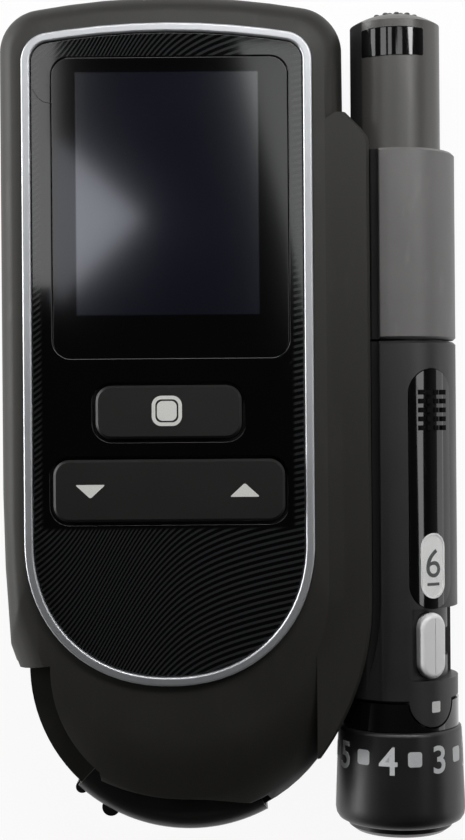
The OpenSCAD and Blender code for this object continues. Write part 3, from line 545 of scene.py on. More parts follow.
STEEL = Satin("steel", "steel", (0.55, 0.55, 0.56), 0.3)
CASE = Moulded("case_white", "case_white", (0.62, 0.60, 0.54), 0.45, drift=0.04)
TAPE = Ink("tape_white", "tape_white", (0.80, 0.79, 0.74))
DRIVE = Moulded("drive_grey", "drive_grey", (0.05, 0.054, 0.06), 0.45)
SILICONE = Moulded("silicone", "silicone_grey", (0.09, 0.09, 0.10), 0.6)
BOARD = Circuit("board", "board_green")
CELL = CellWrap("cell_wrap", "cell_wrap")


class Paintbox:
    """Makes each finish's material once."""

    def __init__(self) -> None:
        """Starts with no materials."""
        self.made: dict[str, bpy.types.Material] = {}

    def material(self, finish: Finish) -> bpy.types.Material:
        """The material of a finish.

        Args:
            finish: What to draw.

        Returns:
            The one material of that finish.
        """
        if finish.name not in self.made:
            material = bpy.data.materials.new("look_" + finish.name)
            material.use_nodes = True
            finish.draw(Shader(material.node_tree))
            self.made[finish.name] = material
        return self.made[finish.name]

    def dress(self, node: str, finish: Finish) -> None:
        """Gives a CAD node that stays as it is a finish."""
        frame["nodes"][node].material_slots[0].material = self.material(finish)


PAINT = Paintbox()


# Shaping


@dataclass
class Wrap:
    """Bends what is drawn flat round an axis that runs along Y."""

    x: float = 23.95
    z: float = 9.5

    def place(self, flat: Vector, turn: float, radius: float) -> Vector:
        """Where a flat point lands.

        Args:
            flat: Across, along Y, and distance from the axis.
            turn: Angle from straight up to the drawing's middle, in degrees, towards +X.
            radius: The radius at which the width across is true.

        Returns:
            The point on the frame's axes.
        """
        angle = math.radians(turn) + flat.x / radius
        return Vector((self.x + flat.z * math.sin(angle), flat.y, self.z + flat.z * math.cos(angle)))


class Sculpt:
    """A shape in millimetres on its way to becoming a piece."""

    def __init__(self) -> None:
        """Starts empty."""
        self.bm = bmesh.new()

    @classmethod
    def of_node(cls, node: str) -> "Sculpt":
        """A merged copy of a CAD node, with its flat faces joined."""
        shape = cls()
        shape.bm.from_mesh(frame["nodes"][node].data)
        bmesh.ops.scale(shape.bm, vec=(1 / MM,) * 3, verts=shape.bm.verts)
        bmesh.ops.remove_doubles(shape.bm, verts=shape.bm.verts, dist=0.0008)
        bmesh.ops.dissolve_limit(
            shape.bm, angle_limit=math.radians(0.4), verts=shape.bm.verts, edges=shape.bm.edges, delimit=set()
        )
        return shape

    @classmethod
    def plate(
        cls, centre: Point, size: Point, corner: float, low: float, high: float, edge: float = 0.0
    ) -> "Sculpt":
        """A plate with round corners and a rounded upper edge.

        Args:
            centre: Its middle.
            size: Its width and length.
            corner: Radius of its corners.
            low: Height of its underside.
            high: Height of its top.
            edge: Radius of the rounded upper edge.

        Returns:
            The shape.
        """
        shape = cls()
        middle = Matrix.Translation((*centre, (low + high) / 2))
        bmesh.ops.create_cube(shape.bm, size=1, matrix=middle @ Matrix.Diagonal((*size, high - low, 1)))
        shape.round([e for e in shape.bm.edges if abs(e.verts[0].co.z - e.verts[1].co.z) > 1e-6], corner, 10)
        if edge:
            rim = [e for e in shape.bm.edges if all(v.co.z > high - 1e-6 for v in e.verts)]
            shape.round([e for e in rim if any(abs(f.normal.z) < 0.5 for f in e.link_faces)], edge, 4)
        bmesh.ops.remove_doubles(shape.bm, verts=shape.bm.verts, dist=0.01)
        shape.bm.normal_update()
        return shape

    @classmethod
    def band(
        cls, centre: Point, size: Point, corner: float, width: float, low: float, high: float
    ) -> "Sculpt":
        """A flat band along the edge of a rectangle with round corners.

        Args:
            centre: The rectangle's middle.
            size: Its width and length.
            corner: Radius of its corners.
            width: The band's width.
            low: Height of the band's underside.
            high: Height of its top.

        Returns:
            The shape.
        """
        shape = cls.plate(centre, size, corner, -1.0, 0.0)
        rest = [f for f in shape.bm.faces if f.normal.z < 0.9]
        bmesh.ops.delete(shape.bm, geom=rest, context="FACES")
        middle = list(shape.bm.faces)
        bmesh.ops.inset_region(
            shape.bm, faces=middle, thickness=width, use_even_offset=True, use_boundary=True
        )
        bmesh.ops.delete(shape.bm, geom=middle, context="FACES")
        return shape.thicken(low, high)

    @classmethod
    def turned(cls, profile: Sequence[Point], segments: int = 128) -> "Sculpt":
        """A body turned about the lancing device's axis.

        Args:
            profile: Points of (radius, Y), in order round the section.
            segments: Steps round the axis.

        Returns:
            The closed shape.
        """
        shape = cls()
        axis = Wrap()
        corners = [shape.bm.verts.new((axis.x + r, y, axis.z)) for r, y in profile]
        loop = [shape.bm.edges.new((a, b)) for a, b in zip(corners, corners[1:] + corners[:1])]
        bmesh.ops.spin(
            shape.bm,
            geom=loop,
            cent=(axis.x, 0, axis.z),
            axis=(0, 1, 0),
            angle=2 * math.pi,
            steps=segments,
            use_merge=True,
        )
        bmesh.ops.remove_doubles(shape.bm, verts=shape.bm.verts, dist=0.0005)
        bmesh.ops.recalc_face_normals(shape.bm, faces=shape.bm.faces)
        return shape

    @classmethod
    def letter(cls, text: str, height: float, weight: float = 0.0) -> "Sculpt":
        """A numeral as a flat face about the origin.

        Args:
            text: The numeral.
            height: Its height.
            weight: How much its strokes are thickened, as a share of its size.

        Returns:
            The flat shape.
        """
        curve = bpy.data.curves.new("numeral", "FONT")
        curve.body, curve.offset, curve.resolution_u = text, weight, 8
        holder = bpy.data.objects.new("numeral", curve)
        bpy.context.scene.collection.objects.link(holder)
        graph = bpy.context.evaluated_depsgraph_get()
        flat = bpy.data.meshes.new_from_object(holder.evaluated_get(graph))
        shape = cls()
        shape.bm.from_mesh(flat)
        bpy.data.objects.remove(holder)
        bpy.data.meshes.remove(flat)
        bpy.data.curves.remove(curve)
        low = Vector(min(v.co[i] for v in shape.bm.verts) for i in range(3))
        high = Vector(max(v.co[i] for v in shape.bm.verts) for i in range(3))
        factor = height / (high.y - low.y)
        bmesh.ops.translate(shape.bm, vec=-(low + high) / 2, verts=shape.bm.verts)
        bmesh.ops.scale(shape.bm, vec=(factor, factor, factor), verts=shape.bm.verts)
        bmesh.ops.remove_doubles(shape.bm, verts=shape.bm.verts, dist=0.0005)
        return shape

    def round(self, edges: Sequence[bmesh.types.BMEdge], radius: float, segments: int) -> None:
        """Rounds edges.

        Args:
            edges: Which edges.
            radius: The rounding's offset.
            segments: Faces across the rounding.
        """
        bmesh.ops.bevel(
            self.bm,
            geom=list(edges),
            offset=radius,
            segments=segments,
            profile=0.5,
            affect="EDGES",
            material=-1,
        )

    def soften(
        self, wanted: Callable[[bmesh.types.BMEdge], bool], radius: float, segments: int = 3
    ) -> "Sculpt":
        """Rounds the sharp edges that a test picks.

        Args:
            wanted: The test of an edge.
            radius: The rounding's offset.
            segments: Faces across the rounding.

        Returns:
            This shape.
        """
        sharp = [
            e
            for e in self.bm.edges
            if len(e.link_faces) == 2 and e.calc_face_angle(0.0) > math.radians(50) and wanted(e)
        ]
        self.round(sharp, radius, segments)
        return self

    def thicken(self, low: float, high: float) -> "Sculpt":
        """Turns a flat drawing at height 0 into a closed plate between two heights."""
        bmesh.ops.translate(self.bm, vec=(0, 0, low), verts=self.bm.verts)
        grown = bmesh.ops.extrude_face_region(self.bm, geom=list(self.bm.faces))
        top = [g for g in grown["geom"] if isinstance(g, bmesh.types.BMVert)]
        bmesh.ops.translate(self.bm, vec=(0, 0, high - low), verts=top)
        bmesh.ops.recalc_face_normals(self.bm, faces=self.bm.faces)
        return self

    def slice(self, step: float) -> "Sculpt":
        """Cuts the shape into strips across, so that it can bend."""
        xs = [v.co.x for v in self.bm.verts]
        count = max(1, round((max(xs) - min(xs)) / step))
        for k in range(1, count):
            at = min(xs) + (max(xs) - min(xs)) * k / count
            geom = [*self.bm.verts, *self.bm.edges, *self.bm.faces]
            bmesh.ops.bisect_plane(self.bm, geom=geom, plane_co=(at, 0, 0), plane_no=(1, 0, 0), dist=1e-4)
        return self

    def moved(self, offset: Sequence[float]) -> "Sculpt":
        """Shifts the shape."""
        bmesh.ops.translate(self.bm, vec=Vector(offset), verts=self.bm.verts)
        return self

    def wrapped(self, turn: float, radius: float) -> "Sculpt":
        """Bends the flat shape round the lancing device's axis."""
        axis = Wrap()
        for vert in self.bm.verts:
            vert.co = axis.place(vert.co.copy(), turn, radius)
        return self

    def join(self, other: "Sculpt") -> "Sculpt":
        """Takes in another shape."""
        carrier = bpy.data.meshes.new("carrier")
        other.bm.to_mesh(carrier)
        self.bm.from_mesh(carrier)
        bpy.data.meshes.remove(carrier)
        other.bm.free()
        return self

    def piece(
        self, name: str, finish: Finish, body: Body, stands_for: Sequence[str] = (), sharp: float = 42.0
    ) -> bpy.types.Object:
        """Makes the shape a piece of the object.

        Args:
            name: The piece's name.
            finish: Its finish.
            body: The body that it rides on.
            stands_for: The CAD nodes that it replaces.
            sharp: The face angle in degrees past which an edge stays sharp.

        Returns:
            The finished object.
        """
        bmesh.ops.scale(self.bm, vec=(MM,) * 3, verts=self.bm.verts)
        mesh = bpy.data.meshes.new(name)
        self.bm.to_mesh(mesh)
        self.bm.free()
        stale = mesh.attributes.get("custom_normal")
        if stale:
            mesh.attributes.remove(stale)
        mesh.materials.clear()
        mesh.materials.append(PAINT.material(finish))
        mesh.polygons.foreach_set("material_index", [0] * len(mesh.polygons))
        mesh.shade_smooth()
        mesh.set_sharp_from_angle(angle=math.radians(sharp))
        made = bpy.data.objects.new(name, mesh)
        bpy.context.scene.collection.objects.link(made)
        weights = made.modifiers.new("flat_faces_first", "WEIGHTED_NORMAL")
        weights.keep_sharp = True
        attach(made, body.value)
        if stands_for:
            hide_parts(*stands_for)
        LOG.info("piece %s on %s, %d faces", name, body.value, len(mesh.polygons))
        return made


def at_height(z: float) -> Callable[[bmesh.types.BMEdge], bool]:
    """A test for edges that lie at a height, to 0.01 mm."""
    return lambda edge: all(z - 0.01 <= v.co.z <= z + 0.01 for v in edge.verts)


# The meter


@dataclass
class Shell:
    """The meter's housings, ring, front panel and window."""

    ring_top: float = 19.6
    plate_top: float = 19.2
    ring_edge: float = 0.3
    plate_edge: float = 0.12
    seam_left: Sequence[Point] = field(
        default_factory=lambda: ((-24.75, 43.55), (-26.0, 43.8), (-26.8, 44.4), (-27.5, 45.6))
    )

    def build(self) -> None:
        """Builds the shell's pieces."""
        Sculpt.of_node("front_housing").piece("front_shell", SOFT, Body.METER, ["front_housing"], 34)
        Sculpt.of_node("rear_housing").piece("rear_shell", BACK, Body.METER, ["rear_housing"], 34)
        ring = Sculpt.of_node("trim_ring").soften(at_height(self.ring_top), self.ring_edge, 4)
        ring.piece("silver_ring", SILVER, Body.METER, ["trim_ring"])
        plate = Sculpt.of_node("faceplate").soften(at_height(self.plate_top), self.plate_edge, 3)
        plate.piece("front_panel", PANEL, Body.METER, ["faceplate"])
        glass = Sculpt.of_node("display_window").soften(at_height(self.plate_top), self.plate_edge, 3)
        glass.piece("window_glass", SCREEN, Body.METER, ["display_window"])
        self.seam()

    def seam(self) -> None:
        """The fine raised line that leaves the window's left edge towards the ring."""
        shape = Sculpt()
        for (ax, ay), (bx, by) in zip(self.seam_left, self.seam_left[1:]):
            middle = Vector(((ax + bx) / 2, (ay + by) / 2, self.plate_top))
            length = math.hypot(bx - ax, by - ay)
            turn = Matrix.Rotation(math.atan2(by - ay, bx - ax), 4, "Z")
            size = Matrix.Diagonal((length + 0.05, 0.09, 0.04, 1))
            bmesh.ops.create_cube(shape.bm, size=1, matrix=Matrix.Translation(middle) @ turn @ size)
        shape.round(list(shape.bm.edges), 0.012, 2)
        shape.piece("panel_seam", KEY, Body.METER)


@dataclass
class Keys:
    """The test key and the rocker key, with their printed icons."""

    icon_at: Point = (-9.1, 0.65)
    edge: float = 0.42
    top: float = 20.0
    print_up: float = 0.025
    triangle: Sequence[Point] = ((-2.1, -0.95), (2.1, -0.95), (0, 0.98))

    def build(self) -> None:
        """Builds the keys and their icons."""
        for node in ("test_key", "rocker_key"):
            cap = Sculpt.of_node(node).soften(at_height(self.top), self.edge, 4)
            cap.piece(node + "_cap", KEY, Body(node), [node])
        self.test_icon()
        self.rocker_icons()

    def test_icon(self) -> None:
        """A rounded square in a rounded outline."""
        low, high = self.top - self.print_up, self.top + self.print_up
        icon = Sculpt.band(self.icon_at, (4.2, 4.2), 1.35, 0.5, low, high)
        icon.join(Sculpt.plate(self.icon_at, (2.75, 2.75), 0.8, low, high))
        icon.piece("test_icon", ICON, Body.TEST_KEY)

    def rocker_icons(self) -> None:
        """A down triangle on the left and an up triangle on the right, with soft corners."""
        shape = Sculpt()
        for x, y, up in ((-19.8, -10.5, -1), (1.65, -10.4, 1)):
            corners = [shape.bm.verts.new((x + dx, y + up * dy, 0)) for dx, dy in self.triangle]
            face = shape.bm.faces.new(corners)
            if up < 0:
                face.normal_flip()
            bmesh.ops.bevel(
                shape.bm, geom=corners, offset=0.28, segments=4, profile=0.5, affect="VERTICES", material=-1
            )
        shape.thicken(self.top - self.print_up, self.top + self.print_up)
        shape.piece("rocker_icons", ICON, Body.ROCKER_KEY)


@dataclass
class Covers:
    """The slide catch with its grip ribs, the tip cover and the covers of the back."""

    edge: float = 0.12
    catch_face: float = -33.2
    rib_count: int = 5
    rib_pitch: float = 1.3
    catch_y: float = -1.1
    catch_z: float = 6.9

    def build(self) -> None:
        """Builds the covers' pieces."""
        Sculpt.of_node("tip_cover").piece("tip_shutter", TIP, Body.TIP, ["tip_cover"], 50)
        catch = Sculpt.of_node("slide_catch").soften(self.outer, 0.1, 3)
        catch.join(self.ribs()).piece("catch_slider", SOFT, Body.CATCH, ["slide_catch"])
        cover = Sculpt.of_node("cassette_cover").soften(at_height(0.0), self.edge, 3)
        cover.piece("back_cover", BACK, Body.COVER, ["cassette_cover"])
        door = Sculpt.of_node("battery_door").soften(at_height(0.0), self.edge, 3)
        door.piece("cell_door", BACK, Body.DOOR, ["battery_door"])

    def outer(self, edge: bmesh.types.BMEdge) -> bool:
        """True for an edge of the catch's outer face."""
        return all(v.co.x < self.catch_face for v in edge.verts)

    def ribs(self) -> Sculpt:
        """Fine grip ribs on the slide catch."""
        shape = Sculpt()
        for k in range(self.rib_count):
            along = self.catch_y + (k - (self.rib_count - 1) / 2) * self.rib_pitch
            at = Matrix.Translation((self.catch_face - 0.05, along, self.catch_z))
            bmesh.ops.create_cube(shape.bm, size=1, matrix=at @ Matrix.Diagonal((0.16, 0.45, 2.2, 1)))
        shape.round(list(shape.bm.edges), 0.05, 2)
        return shape


# The lancing device


@dataclass
class Lancer:
    """Sleeve, barrel, grip insert, number window, lever and button."""

    turn: float = 29.0
    radius: float = 8.45
    number_y: float = -21.4
    window_size: Point = (4.1, 9.2)
    window_r: float = 8.6
    lever_y: float = -32.7
    lever_size: Point = (4.55, 9.3)
    wheel_r: float = 6.0
    button_tip: float = 57.8
    button_r: float = 6.45
    dome: float = 1.9
    band_y: float = 52.75
    band_len: float = 3.9
    band_span: float = 85.0
    band_turn: float = -9.7

    def build(self) -> None:
        """Builds the lancing device's pieces."""
        Sculpt.of_node("lancer_sleeve").soften(self.long_edge, 0.28, 3).piece(
            "sleeve_shell", SLEEVE, Body.LANCER, ["lancer_sleeve"], 40
        )
        Sculpt.of_node("lancer_barrel").piece("barrel_shell", BARREL, Body.LANCER, ["lancer_barrel"], 40)
        Sculpt.of_node("grip_insert").piece("grip_pill", BLACK, Body.LANCER, ["grip_insert"], 40)
        self.number()
        self.lever()
        self.button()
        mark = Sculpt.plate((0, -41.3), (1.45, 1.55), 0.2, self.radius - 0.03, self.radius + 0.03, 0.0)
        mark.slice(0.3).wrapped(31.5, self.radius).piece("index_mark", WHITE_MARK, Body.LANCER)

    def long_edge(self, edge: bmesh.types.BMEdge) -> bool:
        """True for an edge that runs along the device on its upper left side."""
        run = edge.verts[1].co - edge.verts[0].co
        return abs(run.y) > 0.9 * run.length and all(v.co.z > 15 for v in edge.verts)

    def pill(self, size: Point, low: float, high: float, edge: float) -> Sculpt:
        """A flat pill, to be wrapped round the device."""
        return Sculpt.plate((0, 0), size, size[0] * 0.4995, low, high, edge)

    def number(self) -> None:
        """The number window's rim, plate, digit and lens, and the numbers on the wheel inside."""
        size, face = self.window_size, self.window_r
        rim = Sculpt.band((0, 0), size, size[0] / 2 - 0.002, 0.25, face - 0.4, face + 0.05)
        inner = (size[0] - 0.46, size[1] - 0.46)
        rim.join(self.pill(inner, face - 0.4, face - 0.04, 0.0)).moved((0, self.number_y, 0)).slice(0.3)
        rim.wrapped(self.turn, face).piece("number_plate", NUMBER, Body.LANCER, ["number_window"])
        print_low, print_high = face - 0.06, face - 0.02
        shown = Sculpt.letter("6", 4.0, 0.0).thicken(print_low, print_high).moved((0, 0.35, 0))
        shown.join(Sculpt.plate((0, -2.6), (2.1, 0.42), 0.1, print_low, print_high))
        shown.moved((0, self.number_y, 0)).slice(0.25).wrapped(self.turn, face)
        shown.piece("number_shown", DIGIT, Body.LANCER)
        lens = self.pill(inner, face - 0.01, face + 0.04, 0.0).moved((0, self.number_y, 0)).slice(0.3)
        lens.wrapped(self.turn, face).piece("number_lens", LENS, Body.LANCER)
        digits = Sculpt()
        for k in range(6):
            digit = Sculpt.letter(str(6 - k), 3.6, 0.012).thicken(self.wheel_r - 0.02, self.wheel_r + 0.05)
            digit.moved((0, self.number_y, 0)).slice(0.25).wrapped(self.turn - 60 * k, self.wheel_r)
            digits.join(digit)
        digits.piece("wheel_digits", DIGIT, Body.DRUM)
        PAINT.dress("number_wheel", NUMBER)

    def lever(self) -> None:
        """The white lever: a full pill with a crowned top on the plain ring and neck inside."""
        low, high = 7.07, self.radius + 0.45
        pill = self.pill(self.lever_size, low, high, 0.75).moved((0, self.lever_y, 0))
        pill.slice(0.35).wrapped(self.turn, high)
        neck = Sculpt.plate((0, self.lever_y), (2.4, 3.2), 0.3, 5.6, low + 0.1)
        neck.slice(0.4).wrapped(self.turn, 6.3)
        ends = (self.lever_y - 3.5, self.lever_y + 3.5)
        band = Sculpt.turned(((4.6, ends[0]), (6.0, ends[0]), (6.0, ends[1]), (4.6, ends[1])))
        pill.join(neck).join(band).piece("lever_pill", LEVER, Body.LEVER, ["advance_lever"])

    def button(self) -> None:
        """The push button with its crowned end, small grip bumps and glossy band."""
        Sculpt.of_node("plunger_button").piece("button_body", BUTTON, Body.PLUNGER, ["plunger_button"], 50)
        size = (math.radians(self.band_span) * self.button_r, self.band_len)
        band = Sculpt.plate((0, self.band_y), size, 0.3, self.button_r - 0.4, self.button_r + 0.02)
        band.slice(0.3).wrapped(self.band_turn, self.button_r)
        band.piece("button_gloss", BLACK, Body.PLUNGER, ["button_band"], 40)
        axis = Wrap()
        ball = (self.button_r**2 + self.dome**2) / (2 * self.dome)
        bumps = Sculpt()
        for ring, count in ((0.0, 1), (1.55, 6), (3.1, 12)):
            for k in range(count):
                angle = 2 * math.pi * k / count
                drop = ball - math.sqrt(ball**2 - ring**2)
                x, z = axis.x + ring * math.cos(angle), axis.z + ring * math.sin(angle)
                at = Matrix.Translation((x, self.button_tip - drop, z))
                place = at @ Matrix.Diagonal((0.42, 0.24, 0.42, 1))
                bmesh.ops.create_uvsphere(bumps.bm, u_segments=16, v_segments=10, radius=1, matrix=place)
        bumps.piece("button_bumps", BUTTON, Body.PLUNGER)


@dataclass
class Cap:
    """The cap's collar and nose, and the depth dial with its marks."""

    upper: float = -44.8
    lower: float = -58.5
    top_r: float = 8.9
    low_r: float = 9.35
    bore: float = 7.59
    mark_y: float = -48.6
    pitch: float = 24.1
    four_at: float = -16.5

    def build(self) -> None:
        """Builds the cap's pieces."""
        Sculpt.of_node("cap_collar").piece("collar_gloss", COLLAR, Body.CAP, ["cap_collar"], 40)
        Sculpt.of_node("cap_nose").piece("nose_ring", NOSE, Body.CAP, ["cap_nose"], 50)
        self.dial()
        self.marks()

    def dial(self) -> None:
        """The dial: a turned grip that widens to its rounded lower edge."""
        lower_edge = ((-1.7, 0.0), (-1.0, 0.1), (-0.45, 0.4), (-0.12, 0.95), (0.0, 1.7), (-0.03, 2.6))
        upper_edge = ((0.015, -0.6), (-0.06, -0.2), (-0.3, 0.0))
        profile = [(self.bore, self.lower)]
        profile += [(self.low_r + dr, self.lower + dy) for dr, dy in lower_edge]
        profile += [(self.top_r + dr, self.upper + dy) for dr, dy in upper_edge]
        profile += [(self.bore, self.upper)]
        Sculpt.turned(profile, 160).piece("dial_grip", DIAL, Body.DIAL, ["depth_dial"], 48)

    def radius_at(self, y: float) -> float:
        """The dial's radius at a place along it."""
        share = (self.upper - 0.6 - y) / (self.upper - 0.6 - (self.lower + 2.6))
        return self.top_r + 0.015 + share * (self.low_r - 0.045 - self.top_r)

    def marks(self) -> None:
        """The numbers 1 to 5 and the squares of the half steps."""
        ink = Sculpt()
        radius = self.radius_at(self.mark_y)
        for k in range(11):
            turn = self.four_at + (k - 3) * self.pitch
            if k % 2:
                mark = Sculpt.letter(str(5 - k // 2), 3.9, 0.014).thicken(radius - 0.04, radius + 0.045)
            else:
                mark = Sculpt.plate((0, 0.25), (2.0, 2.1), 0.4, radius - 0.04, radius + 0.045)
            for vert in mark.bm.verts:
                vert.co.z += self.radius_at(self.mark_y + vert.co.y) - radius
            ink.join(mark.moved((0, self.mark_y, 0)).slice(0.3).wrapped(turn, radius))
        ink.piece("dial_marks", MARK, Body.DIAL)


@dataclass
class Inside:
    """What the housings hold: CAD nodes that keep their shape and get a finish."""

    finishes: dict[str, Finish] = field(
        default_factory=lambda: {
            "display_panel": SCREEN,
            "circuit_board": BOARD,
            "key_mat": SILICONE,
            "cassette_cover_pin": STEEL,
            "battery_upper": CELL,
            "battery_lower": CELL,
            "battery_contacts": STEEL,
            "usb_port": STEEL,
            "housing_screws": STEEL,
            "cassette_case": CASE,
            "supply_reel": CASE,
            "take_up_reel": CASE,
            "drive_spindle": STEEL,
            "drive_unit": DRIVE,
            "test_tape": TAPE,
            "tape_tip": CASE,
            "drum_shaft": CASE,
            "lancet_drum": CASE,
            "lancet_needles": STEEL,
            "plunger_rod": STEEL,
            "drive_spring": STEEL,
        }
    )

    def build(self) -> None:
        """Dresses the inner nodes."""
        for node, finish in self.finishes.items():
            PAINT.dress(node, finish)
            LOG.info("node %s dressed with %s", node, finish.name)


# The studio


@dataclass(frozen=True)
class SoftBox:
    """One soft lamp, aimed at the object."""

    name: str
    at: Colour
    size: Point
    power: float
    aim: Colour = (0.0, 0.0, 0.01)

    def hang(self) -> None:
        """Hangs the lamp."""
        data = bpy.data.lights.new(self.name, "AREA")
        data.shape, data.size, data.size_y = "RECTANGLE", *self.size
        data.energy = self.power
        lamp = bpy.data.objects.new(self.name, data)
        lamp.location = self.at
        lamp.rotation_mode = "QUATERNION"
        lamp.rotation_quaternion = (Vector(self.aim) - Vector(self.at)).to_track_quat("-Z", "Y")
        lamp.visible_camera = False
        bpy.context.scene.collection.objects.link(lamp)


@dataclass(frozen=True)
class Strip:
    """A lit card round the lancing device, for its glossy pieces to reflect.

    Near and far are the angles from straight up, in degrees, of the card's long edges at the two ends in Y.
    """

    name: str
    near: Point
    far: Point
    along: Point
    strength: float
    away: float = 0.4

    def corners(self) -> list[Colour]:
        """The card's corners in metres."""
        axis = Wrap()
        rows = ((self.near[0], 0), (self.near[1], 0), (self.far[1], 1), (self.far[0], 1))
        return [
            (
                axis.x * MM + self.away * math.sin(math.radians(angle)),
                self.along[end],
                axis.z * MM + self.away * math.cos(math.radians(angle)),
            )
            for angle, end in rows
        ]


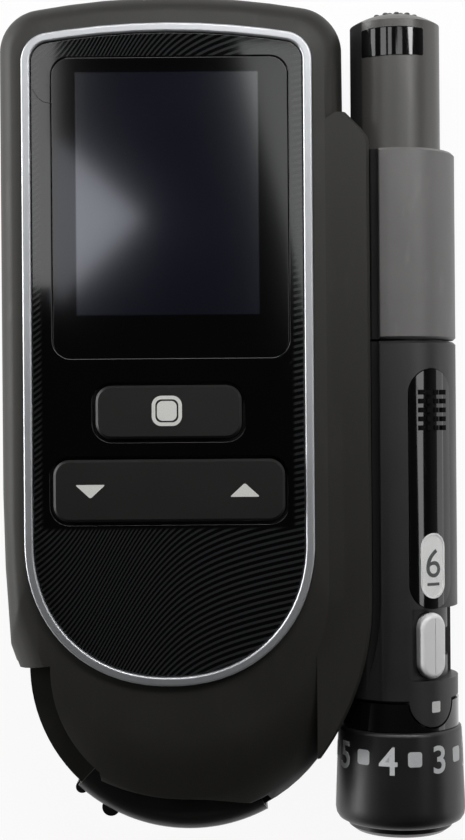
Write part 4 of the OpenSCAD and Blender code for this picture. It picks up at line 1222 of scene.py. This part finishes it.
@dataclass
class Studio:
    """Floor, world, lamps, the cards that the glass reflects, and the camera."""

    camera_z: float = 0.240
    camera_y: float = -0.00069
    lens: float = 67.98
    roll: float = -0.45
    card_z: float = 0.46
    panel_z: float = 0.0192
    boxes: Sequence[SoftBox] = (
        SoftBox("far_box", (0.05, 0.15, 0.17), (0.25, 0.06), 0.48),
        SoftBox("left_box", (-0.35, 0.08, 0.05), (0.4, 0.10), 1.8),
        SoftBox("right_box", (0.35, 0.05, 0.05), (0.4, 0.10), 0.14),
    )
    strips: Sequence[Strip] = (
        Strip("strip_grip", (35.0, 42.0), (26.0, 52.0), (-0.08, 0.12), 2.6),
        Strip("strip_band_c", (-68.0, -56.0), (-68.0, -56.0), (0.05, 0.25), 3.0),
        Strip("strip_band_a", (-41.0, -27.0), (-41.0, -27.0), (0.05, 0.25), 2.5),
        Strip("strip_band_b", (-22.0, -13.0), (-22.0, -13.0), (0.05, 0.25), 2.5),
    )

    def build(self) -> None:
        """Sets up the studio."""
        bpy.context.scene.view_settings.view_transform = "Standard"
        self.camera()
        self.floor()
        self.world()
        for box in self.boxes:
            box.hang()
        self.cards()

    def camera(self) -> None:
        """The camera straight above the object, as in the photograph."""
        data = bpy.data.cameras.new("camera")
        data.lens, data.sensor_width, data.sensor_fit = self.lens, 36.0, "AUTO"
        data.clip_start, data.clip_end = 0.01, 20.0
        camera = bpy.data.objects.new("camera", data)
        camera.location = (0.0, self.camera_y, self.camera_z)
        camera.rotation_euler = (0.0, 0.0, math.radians(self.roll))
        bpy.context.scene.collection.objects.link(camera)
        bpy.context.scene.camera = camera

    def seen(self, shader: Shader) -> Expr:
        """1 for a ray that should meet a white background."""
        path = shader.node("ShaderNodeLightPath")
        camera, glossy, clear = (
            Expr(shader, path.outputs[n]) for n in ("Is Camera Ray", "Is Glossy Ray", "Is Transmission Ray")
        )
        return camera.at_least(glossy).at_least(clear)

    def floor(self) -> None:
        """A pale floor that is white to the camera and keeps the object's soft shadow."""
        bm = bmesh.new()
        bmesh.ops.create_circle(bm, cap_ends=True, radius=3.0, segments=96)
        mesh = bpy.data.meshes.new("floor")
        bm.to_mesh(mesh)
        bm.free()
        material = bpy.data.materials.new("floor_paper")
        material.use_nodes = True
        shader = Shader(material.node_tree)
        paper = shader.node("ShaderNodeBsdfDiffuse", inputs={"Color": (0.82, 0.82, 0.82, 1.0)})
        white = shader.node("ShaderNodeEmission", inputs={"Color": (1.0, 1.0, 1.0, 1.0), "Strength": 1.0})
        mix = shader.node(
            "ShaderNodeMixShader",
            inputs={0: self.seen(shader) * 0.93, 1: paper.outputs[0], 2: white.outputs[0]},
        )
        shader.node("ShaderNodeOutputMaterial", inputs={"Surface": mix.outputs[0]})
        mesh.materials.append(material)
        floor = bpy.data.objects.new("floor", mesh)
        bpy.context.scene.collection.objects.link(floor)

    def world(self) -> None:
        """A room with pale walls and a dark ceiling, white to the camera."""
        world = bpy.data.worlds.new("studio")
        bpy.context.scene.world = world
        world.use_nodes = True
        shader = Shader(world.node_tree)
        ray = shader.node("ShaderNodeTexCoord").outputs["Generated"]
        split = shader.node("ShaderNodeSeparateXYZ", inputs={0: ray})
        up = Expr(shader, split.outputs[2])
        wall = 1.0 - up.step(0.10, 0.62)
        room = shader.node(
            "ShaderNodeBackground", inputs={"Color": (1.0, 1.0, 1.0, 1.0), "Strength": wall * 0.16 + 0.012}
        )
        white = shader.node("ShaderNodeBackground", inputs={"Color": (1.0, 1.0, 1.0, 1.0), "Strength": 1.0})
        path = shader.node("ShaderNodeLightPath")
        camera, clear = (Expr(shader, path.outputs[n]) for n in ("Is Camera Ray", "Is Transmission Ray"))
        mix = shader.node(
            "ShaderNodeMixShader", inputs={0: camera.at_least(clear), 1: room.outputs[0], 2: white.outputs[0]}
        )
        shader.node("ShaderNodeOutputWorld", inputs={"Surface": mix.outputs[0]})

    def overhead(self, outline: Sequence[Point]) -> list[Colour]:
        """Where a card must hang for its reflection to fill an outline.

        Args:
            outline: The reflection's outline on the front panel, in millimetres.

        Returns:
            The card's corners in metres.
        """
        grow = 1 + (self.card_z - self.panel_z) / (self.camera_z - self.panel_z)
        return [
            (x * MM * grow, (y * MM - self.camera_y) * grow + self.camera_y, self.card_z) for x, y in outline
        ]

    def card(
        self, name: str, corners: Sequence[Colour], strength: float, tint: Colour = (1.0, 1.0, 1.0)
    ) -> None:
        """A lit card that only reflections show.

        Args:
            name: The card's name.
            corners: Its corners in metres.
            strength: Its brightness.
            tint: Its colour.
        """
        bm = bmesh.new()
        bm.faces.new([bm.verts.new(corner) for corner in corners])
        mesh = bpy.data.meshes.new(name)
        bm.to_mesh(mesh)
        bm.free()
        material = bpy.data.materials.new(name)
        material.use_nodes = True
        shader = Shader(material.node_tree)
        glossy = Expr(shader, shader.node("ShaderNodeLightPath").outputs["Is Glossy Ray"])
        light = shader.node(
            "ShaderNodeEmission", inputs={"Color": (*tint, 1.0), "Strength": glossy * strength}
        )
        shader.node("ShaderNodeOutputMaterial", inputs={"Surface": light.outputs[0]})
        mesh.materials.append(material)
        card = bpy.data.objects.new(name, mesh)
        card.visible_camera = card.visible_diffuse = card.visible_shadow = False
        bpy.context.scene.collection.objects.link(card)

    def cards(self) -> None:
        """The bright shapes that the window, the panel and the lancing device reflect."""
        left = self.overhead(((-12.3, 27.6), (-24.4, 39.0), (-24.6, 15.4)))
        self.card("card_left", left, 2.6, (0.86, 0.89, 1.0))
        right = self.overhead(((1.2, 52.0), (13.2, 52.0), (13.2, 12.0), (10.5, 14.0), (8.2, 24.5)))
        self.card("card_right", right, 2.3, (0.97, 1.0, 0.98))
        beside = self.overhead(((13.4, 3.0), (45.0, 3.0), (45.0, 55.0), (13.4, 55.0)))
        self.card("card_ring", beside, 2.2)
        for strip in self.strips:
            self.card(strip.name, strip.corners(), strip.strength)


def main() -> None:
    """Builds the classes in order."""
    logging.basicConfig(level=logging.INFO, format="%(name)s: %(message)s")
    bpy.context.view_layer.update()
    for part in (Studio(), Shell(), Keys(), Covers(), Lancer(), Cap(), Inside()):
        LOG.info("building %s", type(part).__name__)
        part.build()


if __name__ == "__main__":
    main()
